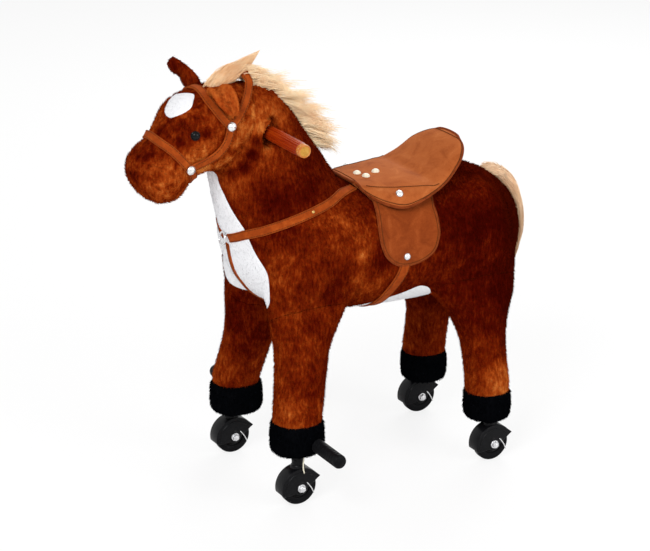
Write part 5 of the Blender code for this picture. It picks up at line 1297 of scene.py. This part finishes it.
def ringTube(points, radius, sides=10):
    # a round cord laid along a closed line
    count = len(points)
    side = (points[1] - points[0]).orthogonal().normalized()
    rings = []
    for i, point in enumerate(points):
        along = (points[(i + 1) % count] - points[i - 1]).normalized()
        side = squareTo(along, side)
        rings.append(ovalRing(point, side, along.cross(side), radius, radius, sides))
    # the first ring comes again as the last, turned so that the cord doesn't twist where it meets
    first = rings[0][0] - points[0]
    best = min(range(sides), key=lambda k: (rings[-1][k] - points[-1] - first).length)
    return hoopOver(rings + [rings[0][-best % sides:] + rings[0][:-best % sides] if best else rings[0]])


chestRing = {"radius": 0.0092, "wire": 0.0015, "tilt": 12, "forward": 0.0022}
tilt = math.radians(chestRing["tilt"])
centre = middleOf("chest_ring") - backward * chestRing["forward"]
rise = Vector((0, math.sin(tilt), math.cos(tilt)))
points = []
for i in range(48):
    angle = math.tau * i / 48
    points.append(centre + (across * math.cos(angle) + rise * math.sin(angle)) * chestRing["radius"])
ring = meshOf(ringTube(points, chestRing["wire"], 12))
finished("chestRing", ring, plain["boltSteel"], "body", ("chest_ring",))

studSizes = {"bridle": 0.0070, "top": 0.0060, "flap": 0.0055, "strap": 0.0024, "bridleLift": 0.0044}
rivets = [onto(bodyTree, point, studSizes["bridleLift"])
          for side, _ in halves for point in onSide((cheekRivet, noseRivet), side)]
studded("bridleRivets", rivets, plain["domeMetal"], studSizes["bridle"])
print("straps ready")


# Saddle

saddleShape = {
    "centre": (  # y and z in mm along the middle
        (10, 456.5), (31, 455), (61, 454.5), (85, 455), (105, 455), (121, 456.5), (139, 464), (155, 475),
        (171, 486), (185, 494), (198, 498.5)),
    "edge": (  # mm along the left edge
        (40, 12, 457), (54, 17, 446), (70, 28, 436), (84, 44, 428.5), (91, 67, 423), (92, 93, 429),
        (90, 116, 438), (85, 133, 444), (80, 148, 452), (75, 162, 463), (68, 176, 476), (50, 190, 488),
        (26, 196.5, 496)),
    "thick": 8.0, "edgeThick": 4.5, "piping": 2.4, "clear": (3.5, 1.0),
    "puff": (84, 20, 1.0), "crease": (118, 7.5, 3.0),  # where it lies in y, its width and its height
    "across": 57, "along": 41, "round": 0.16, "roundEnds": 0.10,
}


def saddleGrid(s):
    # rows of points from the pommel to the cantle, each from the right edge to the left one
    count = s["along"]
    centre = smoothPath([spot(0, y, z) for y, z in s["centre"]], count)
    edge = smoothPath(onSide(s["edge"]), count)
    top = []
    for u in range(count):
        fallPower = 2.4 - 0.9 * u / (count - 1)
        row = []
        for v in range(s["across"]):
            t = 2 * v / (s["across"] - 1) - 1
            far = abs(t)
            wide = math.sin(far * math.pi / 2) ** 0.9 if far < 1 else 1.0
            row.append(Vector((math.copysign(1, t) * edge[u].x * wide,
                               centre[u].y + (edge[u].y - centre[u].y) * far ** 2,
                               centre[u].z + (edge[u].z - centre[u].z) * far ** fallPower)))
        top.append(row)
    return top


def hump(y, far, shape, lean=0):
    # a soft ridge across the saddle, fading towards its edges
    where, wide, high = shape
    return high * math.exp(-((y - where - lean * far) / wide) ** 2)


def saddleLines(s):
    # the upper and the lower side as rows of points, clear of the back
    top = saddleGrid(s)
    rows, cols = len(top), len(top[0])
    upper, lower = [], []
    for u in range(rows):
        upLine, downLine = [], []
        for v in range(cols):
            far = abs(2 * v / (cols - 1) - 1)
            along = top[min(u + 1, rows - 1)][v] - top[max(u - 1, 0)][v]
            facing = top[u][min(v + 1, cols - 1)] - top[u][max(v - 1, 0)]
            facing = facing.cross(along).normalized()
            inside = min(1.0, (1 - far) / s["round"], u / (rows - 1) / s["roundEnds"],
                         (1 - u / (rows - 1)) / s["roundEnds"])
            swell = math.sin(min(max(inside, 0), 1) * math.pi / 2)
            y = top[u][v].y * 1000
            puff = hump(y, far, s["puff"]) * (1 - far ** 2)
            crease = hump(y, far, s["crease"], 8) * (1 - far ** 3)
            point = top[u][v] + facing * (puff - crease) / 1000 * swell
            found, away, _, _ = skinTree.find_nearest(point)
            over = (point - found).dot(away)
            need = (s["clear"][0] + s["clear"][1] * swell) / 1000
            if over < need:
                point = point + away * (need - over)
            thick = (s["edgeThick"] + (s["thick"] - s["edgeThick"]) * swell) / 1000
            upLine.append(point)
            downLine.append(point - facing * thick)
        upper.append(upLine)
        lower.append(downLine)
    return upper, lower


def saddleForm(upper, lower):
    rows, cols = len(upper), len(upper[0])
    shape = bmesh.new()
    a = [[shape.verts.new(point) for point in line] for line in upper]
    b = [[shape.verts.new(point) for point in line] for line in lower]
    for u in range(rows - 1):
        for v in range(cols - 1):
            shape.faces.new((a[u][v], a[u][v + 1], a[u + 1][v + 1], a[u + 1][v]))
            shape.faces.new((b[u][v], b[u + 1][v], b[u + 1][v + 1], b[u][v + 1]))
    rim = [(0, v) for v in range(cols)] + [(u, cols - 1) for u in range(1, rows)]
    rim += [(rows - 1, v) for v in range(cols - 2, -1, -1)] + [(u, 0) for u in range(rows - 2, 0, -1)]
    for (u, v), (p, q) in zip(rim, rim[1:] + rim[:1]):
        shape.faces.new((a[u][v], b[u][v], b[p][q], a[p][q]))
    bmesh.ops.recalc_face_normals(shape, faces=shape.faces)
    carrier = linked("carrier", meshOf(shape))
    smooth = carrier.modifiers.new("smooth", "SUBSURF")
    smooth.levels = smooth.render_levels = 1
    return evaluated(carrier), [upper[u][v].lerp(lower[u][v], 0.3) for u, v in rim]


saddleTop, saddleUnder = saddleLines(saddleShape)
saddleMesh, saddleEdge = saddleForm(saddleTop, saddleUnder)
saddleTree = surfaceOf(saddleMesh)
saddlePad = finished("saddlePad", saddleMesh, saddleSuede, "body", ("saddle_seat",), sharp=60)
covers["saddlePad"] = saddlePad
corner = smoothPath(saddleEdge, 260, True)[:-1]
for _ in range(6):
    corner = [point / 4 for point in eased(corner, True)]
piping = meshOf(ringTube(corner, saddleShape["piping"] / 1000))
finished("saddlePiping", piping, pipingSuede, "body")


def gridLine(shares):
    # a stitched line on the saddle's top, given in shares of its length and half width
    rows, cols = len(saddleTop), len(saddleTop[0])
    made = []
    for along, out, _ in smoothPath([(a, b, 0) for a, b in shares], 90):
        u = min(max(along, 0), 1) * (rows - 1)
        v = (min(max(out, -1), 1) + 1) / 2 * (cols - 1)
        i, j = min(int(u), rows - 2), min(int(v), cols - 2)
        here, after = [saddleTop[k][j].lerp(saddleTop[k][j + 1], v - j) for k in (i, i + 1)]
        made.append(onto(saddleTree, here.lerp(after, u - i), 0.0004)[0])
    return made


def topStuds(name, places, finish):
    # studs on the saddle's top, at x and y in mm
    seats = []
    for x, y in places:
        found, facing, _, _ = saddleTree.ray_cast(spot(x, y, 600), -upward)
        seats.append((found - facing * 0.0002, facing))
    studded(name, seats, finish, studSizes["top"])


saddleSeams = {
    "pommel": ((0.035, -0.92), (0.035, -0.5), (0.035, 0.5), (0.035, 0.92)),
    "edge": ((0.035, 0.92), (0.3, 0.93), (0.6, 0.93), (0.965, 0.90)),
    "skirt": ((0.10, 0.60), (0.22, 0.52), (0.34, 0.52), (0.48, 0.62), (0.58, 0.80)),
    "cantle": ((0.965, -0.90), (0.965, 0), (0.965, 0.90)),
}
seams = [gridLine(saddleSeams["pommel"])]
for side, _ in halves:
    for name in ("edge", "skirt"):
        seams.append(gridLine([(along, side * out) for along, out in saddleSeams[name]]))
seams.append(gridLine(saddleSeams["cantle"]))
topStuds("creamStuds", ((-1, 38), (17, 43), (5, 66)), plain["creamStud"])
topStuds("skirtRivets", ((79, 64), (-79, 64)), plain["domeMetal"])
stitched("saddleStitches", seams, 0.0032, 0.0022, 0.0007)

flapShape = {
    "outline": ((62, 30, 438), (76, 26, 430), (93.4, 20, 403), (102, 20, 378), (103.4, 30, 355),
                (101.8, 53, 339.5), (101.8, 84, 340), (102.7, 108, 352), (101.4, 118.5, 373), (97.9, 120.8, 387),
                (86, 121, 413), (62, 118, 438)),
    "thick": 0.0026, "lift": 0.0012, "piping": 0.0012, "inset": 0.0042, "rivet": (200, 62, 353.3),
}
strapStud = (84, -82, 438)
for side, label in halves:
    s = flapShape
    outline = onSide(s["outline"], side)
    flap, rim = patchOn(skinTree, outline, (-side, 0, 0), s["thick"], 22, 150, s["lift"], 0.97)
    flapMesh = meshOf(flap)
    covers[f"saddleFlap_{label}"] = finished(f"saddleFlap_{label}", flapMesh, flapSuede, "body",
                                             (f"saddle_flap_{label}",))
    finished(f"flapPiping_{label}", meshOf(ringTube(rim, s["piping"], 8)), pipingSuede, "body")
    flapTree = surfaceOf(flapMesh)
    heart = sum(rim, Vector()) / len(rim)
    line = []
    for point in rim + rim[:1]:
        inward = (heart - point).normalized() * s["inset"]
        line.append(onto(flapTree, point + inward + across * side * 0.004, 0.0003)[0])
    seat, facing, _, _ = flapTree.ray_cast(*onSide([s["rivet"]], side), across * -side)
    studded(f"flapRivet_{label}", [(seat, facing)], plain["domeMetal"], studSizes["flap"])
    bandTree = surfaceOf(covers[f"breastBand_{label}"].data)
    studded(f"strapStud_{label}", [onto(bandTree, *onSide([strapStud], side))], plain["brassStud"],
            studSizes["strap"], 20)
    stitched(f"flapStitches_{label}", [line], 0.0032, 0.0020, 0.0005)
print("saddle ready")


# Pile, which stays off what is sewn or strapped over it

def uncovered(mesh, trees, reach):
    shape = bmesh.new()
    shape.from_mesh(mesh)
    hidden = []
    for face in shape.faces:
        centre = face.calc_center_median()
        if any(tree.find_nearest(centre, reach)[0] is not None for tree in trees):
            hidden.append(face)
    bmesh.ops.delete(shape, geom=hidden, context="FACES")
    return meshOf(shape)


coverTrees = [surfaceOf(item.data) for item in covers.values()]
for name, mesh, finish, settings, seed, leg in pileJobs:
    bare = uncovered(mesh, coverTrees, 0.0030)
    tufts = addPile(name, bare, finish, None if leg else "body", settings, seed)
    if leg:
        blendLeg(tufts, *leg)
print("pile ready")


# Handle, pegs and casters

def alongX(shape, where, sign=1):
    turn = Matrix.Rotation(math.radians(90 * sign), 4, "Y")
    bmesh.ops.transform(shape, matrix=Matrix.Translation(where) @ turn, verts=shape.verts)
    return shape


def inMetres(shape):
    return {name: value / 1000 for name, value in shape.items()}


def spanOf(node, side):
    # the inner and the outer end of a node in x, and where its inner end stands
    low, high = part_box(node)
    inner, outer = (low.x, high.x) if side > 0 else (high.x, low.x)
    return inner, outer, Vector((inner, (low.y + high.y) / 2, (low.z + high.z) / 2))


def flutedForm(radius, length, flutes, depth, steps=24):
    # a grip turned round Z and fluted along its length, its ends eased
    sides, endShare = flutes * 8, 0.025
    rings = []
    for i in range(steps + 1):
        t = i / steps
        near = min(t, 1 - t)
        ease = min(1.0, math.sin(near * 40 * math.pi / 2) if near < endShare else 1.0)
        ring = []
        for k in range(sides):
            angle = math.tau * k / sides
            groove = depth * (0.5 - 0.5 * math.cos(angle * flutes)) ** 3 * ease
            r = radius * (1 - 0.08 * (1 - ease)) - groove
            ring.append(Vector((r * math.cos(angle), r * math.sin(angle), t * length)))
        rings.append(ring)
    return skinOver(rings)


gripShape = {"radius": 0.0103, "flutes": 18, "depth": 0.0011, "cap": 0.0096, "capLong": 0.0059}
capProfile = (  # share of the cap's radius, height
    (0, 0), (0.97, 0), (1, 0.0006), (1, 0.0028), (0.94, 0.0036), (0.90, 0.0044), (0.98, 0.0054), (1, 0.0066),
    (0.99, 0.0082), (0.94, 0.0092), (0.84, 0.00945), (0.78, 0.0088), (0.74, 0.0088), (0, 0.0088))
discProfile = ((0, 0.006), (0.75, 0.006), (0.75, 0.0089), (0.5, 0.0093), (0.2, 0.0091), (0, 0.0091))


def turned(profile, radius):
    return lathed([(share * radius, height) for share, height in profile], 48)


for side, label in halves:
    s = gripShape
    inner, outer, _ = spanOf(f"grip_{label}", side)
    outer -= side * s["capLong"]
    form = flutedForm(s["radius"], abs(outer - inner), s["flutes"], s["depth"])
    grip = alongX(form, Vector((inner, handle.y, handle.z)), side)
    finished(f"fluted_grip_{label}", meshOf(grip), gripWood, "body", (f"grip_{label}",))
    where = Vector((outer, handle.y, handle.z))
    cap, disc = [alongX(turned(profile, s["cap"]), where, side) for profile in (capProfile, discProfile)]
    finished(f"turnedCap_{label}", meshOf(cap), capWood, "body", (f"grip_cap_{label}",))
    finished(f"capDisc_{label}", meshOf(disc), discGold, "body")

pegShape = {"radius": 0.0104, "ribs": 12, "from": 0.008, "end": 0.018}


def pegForm(s, length):
    # a turned peg with grooves between its ribs
    r = s["radius"]
    profile = [(0, 0), (r * 0.9, 0), (r, 0.0012)]
    for k in range(s["ribs"]):
        z = s["from"] + (length - s["end"]) * k / (s["ribs"] - 1)
        profile += [(r, z - 0.0016), (r * 0.93, z - 0.0010), (r * 0.93, z + 0.0010), (r, z + 0.0016)]
    profile += [(r, length - 0.0030), (r * 0.93, length - 0.0010), (r * 0.80, length), (0, length)]
    return lathed(profile, 40)


for side, label in halves:
    inner, outer, where = spanOf(f"peg_{label}", side)
    peg = meshOf(alongX(pegForm(pegShape, abs(outer - inner)), where, side))
    finished(f"ribbedPeg_{label}", peg, plain["pegRubber"], "front_legs", (f"peg_{label}",))

wheelShape = {"radius": 28.0, "half": 6.6, "round": 3.2, "dish": 17.0, "deep": 2.4, "hub": 7.4}
boltShape = {"washer": 12.7, "stem": 2.9}
washerProfile = ((0, 0), (0.0062, 0), (0.0066, 0.0004), (0.0062, 0.0011), (0.0054, 0.0013), (0, 0.0013))
nutProfile = ((0, 0.001), (0.0054, 0.001), (0.0054, 0.0042), (0.0046, 0.0052), (0, 0.0054))
nubProfile = ((0, 0.004), (0.0028, 0.004), (0.0028, 0.0058), (0.0020, 0.0064), (0, 0.0065))


def wheelForm(s):
    half, floor, curve = s["half"], s["half"] - s["deep"], s["round"]
    hub, dish = s["hub"], s["dish"]
    face = [(0, half + 0.0012), (hub * 0.8, half + 0.0012), (hub, half + 0.0004), (hub + 0.0006, floor),
            (dish - 0.0012, floor), (dish, floor + 0.0008), (dish + 0.0004, half - 0.0004),
            (dish + 0.0014, half)]
    for k in range(9):
        a = math.radians(90 - k * 90 / 8)
        face.append((s["radius"] - curve + curve * math.cos(a), half - curve + curve * math.sin(a)))
    return lathed(face + [(radius, -height) for radius, height in face[::-1]], 64)


def boltForm(s, axle):
    # a stem with a washer, a nut and the end of the thread on both sides
    heads = []
    for side, _ in halves:
        where = axle + across * side * s["washer"]
        for profile, count in ((washerProfile, 32), (nutProfile, 6), (nubProfile, 20)):
            heads.append(alongX(lathed(profile, count), where, side))
    reach = s["washer"]
    heads.append(alongX(lathed([(0, -reach), (s["stem"], -reach), (s["stem"], reach), (0, reach)], 20), axle))
    return joined(heads)


for key, axle in axles.items():
    wheel = alongX(wheelForm(inMetres(wheelShape)), axle)
    finished(f"rubberWheel_{key}", meshOf(wheel), plain["wheelRubber"], f"wheel_{key}",
             (f"wheel_{key}",))
    bolt, body = boltForm(inMetres(boltShape), axle), legBodies[key.split("_")[0]]
    finished(f"hexBolt_{key}", bolt, plain["boltSteel"], body, (f"axle_bolt_{key}",), sharp=30)

hoodShape = {"reach": 31.5, "front": 104, "rear": 66, "beak": 34.8, "lug": 11.0, "outside": 12.5, "inside": 8.5,
             "pocket": 29.4, "beakFrom": 44}
hoodTail = ((68, 29.0), (73, 22.5), (82, 15.5))  # degrees and reach, from the beak to the lug
hoodChin = ((236, 14.0), (243, 20.0), (250, 26.5))  # and from the lug to the front
stemShape = {"foot": 0.0296, "top": 0.0835, "button": (5.0, -7.0, 42.1), "buttonFacing": (0.58, -0.81, 0)}
stemProfile = ((0, 0), (0.0108, 0), (0.0110, 0.0030), (0.0100, 0.0050), (0.0089, 0.0062))
buttonProfile = ((0, -0.002), (0.0023, -0.002), (0.0023, 0.0006), (0.0016, 0.0012), (0, 0.0014))
collarProfile = ((0, 0), (0.0098, 0), (0.0098, 0.0004), (0.0090, 0.0009), (0, 0.0009))
ribShape = {"out": 12.4, "reach": 25.4, "sweep": (-96, 58, 5), "radius": 0.0009, "collar": 0.0122}
springWire = {"path": ((13, 3.5, 53), (14.6, 2.4, 46), (14.6, 1.6, 38), (14.2, 2.2, 30), (13.2, 4.2, 24)),
              "radius": 0.0010}
pawlWire = {"inset": 0.0009, "lift": 0.0004, "bow": 0.0008, "root": 0.006, "radius": 0.0008}


def roundPoint(x, angle, reach):
    # a point about an axle, from mm and degrees from the top
    turn = math.radians(angle)
    return spot(x, math.sin(turn) * reach, math.cos(turn) * reach)


def hoodForm(s, axle):
    # a rounded shell whose outline is given in degrees from the top, hollowed for the wheel
    sweep, span = s["front"] + s["rear"], s["rear"] - s["beakFrom"]
    outline = []
    for step in range(33):
        angle = -s["front"] + sweep * step / 32
        beak = max((angle - s["beakFrom"]) / span, 0) ** 2
        outline.append((angle, s["reach"] + (s["beak"] - s["reach"]) * beak))
    outline += [*hoodTail, *[(angle, s["lug"]) for angle in range(92, 230, 12)], *hoodChin]
    rings = []
    for x in (-s["outside"], s["outside"]):
        rings.append([axle + roundPoint(x, angle, reach) for angle, reach in outline])
    carrier = linked("carrier", meshOf(skinOver(rings)))
    edge = carrier.modifiers.new("round", "BEVEL")
    edge.width, edge.segments, edge.limit_method = 0.0013, 3, "ANGLE"
    wide, deep = s["pocket"] / 1000, s["inside"] / 1000
    pocket = alongX(lathed([(0, -deep), (wide, -deep), (wide, deep), (0, deep)], 48), axle)
    return cutBy(evaluated(carrier), [pocket])


def stemForm(s, axle):
    # the stem over the hood with its button, and a rib and a collar on each cheek
    foot, top = s["foot"], s["top"] - axle.z
    profile = [(radius, foot + height) for radius, height in stemProfile] + [(0.0087, top), (0, top)]
    stem = lathed(profile, 40)
    bmesh.ops.translate(stem, verts=stem.verts, vec=axle)
    button = stand(lathed(buttonProfile, 16), axle + spot(*s["button"]), s["buttonFacing"])
    forms = [stem, button]
    for side, _ in halves:
        out, reach = side * ribShape["out"], ribShape["reach"]
        arc = [axle + roundPoint(out, angle, reach) for angle in range(*ribShape["sweep"])]
        forms.append(tubeForm(arc, ribShape["radius"], 8))
        forms.append(alongX(lathed(collarProfile, 32), axle + across * side * ribShape["collar"], side))
    return joined(forms)


def pawlForm(s, low, high):
    tip = Vector((high.x - s["inset"], high.y - s["inset"], low.z + s["lift"]))
    top = Vector((high.x - s["inset"], low.y + s["inset"], high.z - s["inset"]))
    bow = top.lerp(tip, 0.5) + Vector((0, s["bow"], s["bow"] / 2))
    return tubeForm(smoothPath([top - across * s["root"], top, bow, tip], 24), s["radius"])


for key, axle in axles.items():
    body = legBodies[key.split("_")[0]]
    finished(f"casterHood_{key}", hoodForm(hoodShape, axle), plain["hoodPlastic"], body,
             (f"caster_hood_{key}",), sharp=35)
    finished(f"casterStem_{key}", stemForm(stemShape, axle), plain["hoodPlastic"], body)
    finished(f"pawlWire_{key}", meshOf(pawlForm(pawlWire, *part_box(f"pawl_{key}"))), plain["wireSteel"], body,
             (f"pawl_{key}",))
    if key == "front_left":
        wire = smoothPath([axle + point for point in onSide(springWire["path"])], 30)
        wire = meshOf(tubeForm(wire, springWire["radius"]))
        finished("springWire", wire, plain["creamStud"], body)

keptNodes = (  # the nodes that keep their own shape, by how their names begin
    (("main_frame", "front_leg_frame", "rear_leg_frame", "coupling_link"), plain["frameEnamel"]),
    (("hip_bolt", "shoulder_bolt"), plain["boltSteel"]),
    (("hip_spring", "shoulder_spring"), plain["wireSteel"]),
    (("saddle_board", "handle_bar"), boardWood))
for name, item in frame["nodes"].items():
    for starts, finish in keptNodes:
        if name.startswith(starts):
            for slot in item.material_slots:
                slot.material = finish
            if not item.material_slots:
                item.data.materials.append(finish)
print("handle and casters ready")


# Stage, light and camera

stageLook = {"reach": 9, "floor": (0.9, 0.9, 0.9, 1), "glow": 0.8, "sky": 0.55}
lamps = {  # place, size, power
    "keyLamp": ((1.6, -1.9, 2.3), 1.2, 58), "sideLamp": ((2.3, 1.2, 1.4), 1.4, 26),
    "backLamp": ((-1.8, 1.6, 1.9), 1.4, 34),
}
lampAim = Vector((0, 0, 0.32))
cameraSettings = {"turn": 61.2, "rise": 19.7, "away": 3.6, "target": (0, -0.0166, 0.3040), "focal": 2416.1,
                  "sensor": 36, "pixels": 650}
white = (1, 1, 1, 1)


def makeFloor(s):
    # a pale floor that mostly shows as plain white
    mesh = bpy.data.meshes.new("floor")
    mesh.from_pydata([(x * s["reach"], y * s["reach"], 0) for x, y in ((-1, -1), (1, -1), (1, 1), (-1, 1))], [],
                     [(0, 1, 2, 3)])
    linked("floor", mesh)
    pale, tree, shader = newMaterial("paleFloor", {"Roughness": 0.9, "Base Color": s["floor"]})
    glow = addNode(tree, "ShaderNodeEmission", {"Color": white, "Strength": 1.0})
    share = sums(tree, "MULTIPLY", addNode(tree, "ShaderNodeLightPath").outputs["Is Camera Ray"], s["glow"])
    mixed = addNode(tree, "ShaderNodeMixShader", {0: share, 1: shader.outputs[0], 2: glow.outputs[0]})
    tree.links.new(mixed.outputs[0], tree.nodes["Material Output"].inputs["Surface"])
    mesh.materials.append(pale)


def makeSky(s):
    # soft light all round, seen as plain white
    world = bpy.data.worlds.new("studio")
    bpy.context.scene.world = world
    world.use_nodes = True
    tree = world.node_tree
    sky = tree.nodes["Background"]
    sky.inputs["Color"].default_value = white
    sky.inputs["Strength"].default_value = s["sky"]
    bright = addNode(tree, "ShaderNodeBackground", {"Color": white, "Strength": 1.0})
    path = addNode(tree, "ShaderNodeLightPath").outputs
    seen = sums(tree, "MAXIMUM", path["Is Camera Ray"], path["Is Transmission Ray"])
    seen = sums(tree, "MAXIMUM", seen, path["Is Glossy Ray"])
    mixed = addNode(tree, "ShaderNodeMixShader", {0: seen, 1: sky.outputs[0], 2: bright.outputs[0]})
    tree.links.new(mixed.outputs[0], tree.nodes["World Output"].inputs["Surface"])


def addLamp(name, where, size, power):
    data = bpy.data.lights.new(name, "AREA")
    data.shape = "SQUARE"
    data.size = size
    data.energy = power
    lamp = linked(name, data)
    lamp.location = where
    lamp.rotation_euler = (lampAim - Vector(where)).to_track_quat("-Z", "Y").to_euler()


def addCamera(s):
    turn, rise = math.radians(s["turn"]), math.radians(s["rise"])
    back = Vector((math.sin(turn) * math.cos(rise), -math.cos(turn) * math.cos(rise), math.sin(rise)))
    data = bpy.data.cameras.new("camera")
    data.sensor_width = s["sensor"]
    data.lens = s["focal"] * s["sensor"] / s["pixels"]
    data.clip_end = 50
    camera = linked("camera", data)
    camera.location = Vector(s["target"]) + back * s["away"]
    camera.rotation_euler = (-back).to_track_quat("-Z", "Y").to_euler()
    bpy.context.scene.camera = camera


makeFloor(stageLook)
makeSky(stageLook)
for name, settings in lamps.items():
    addLamp(name, *settings)
addCamera(cameraSettings)
bpy.context.scene.view_settings.view_transform = "Standard"

print("scene ready")
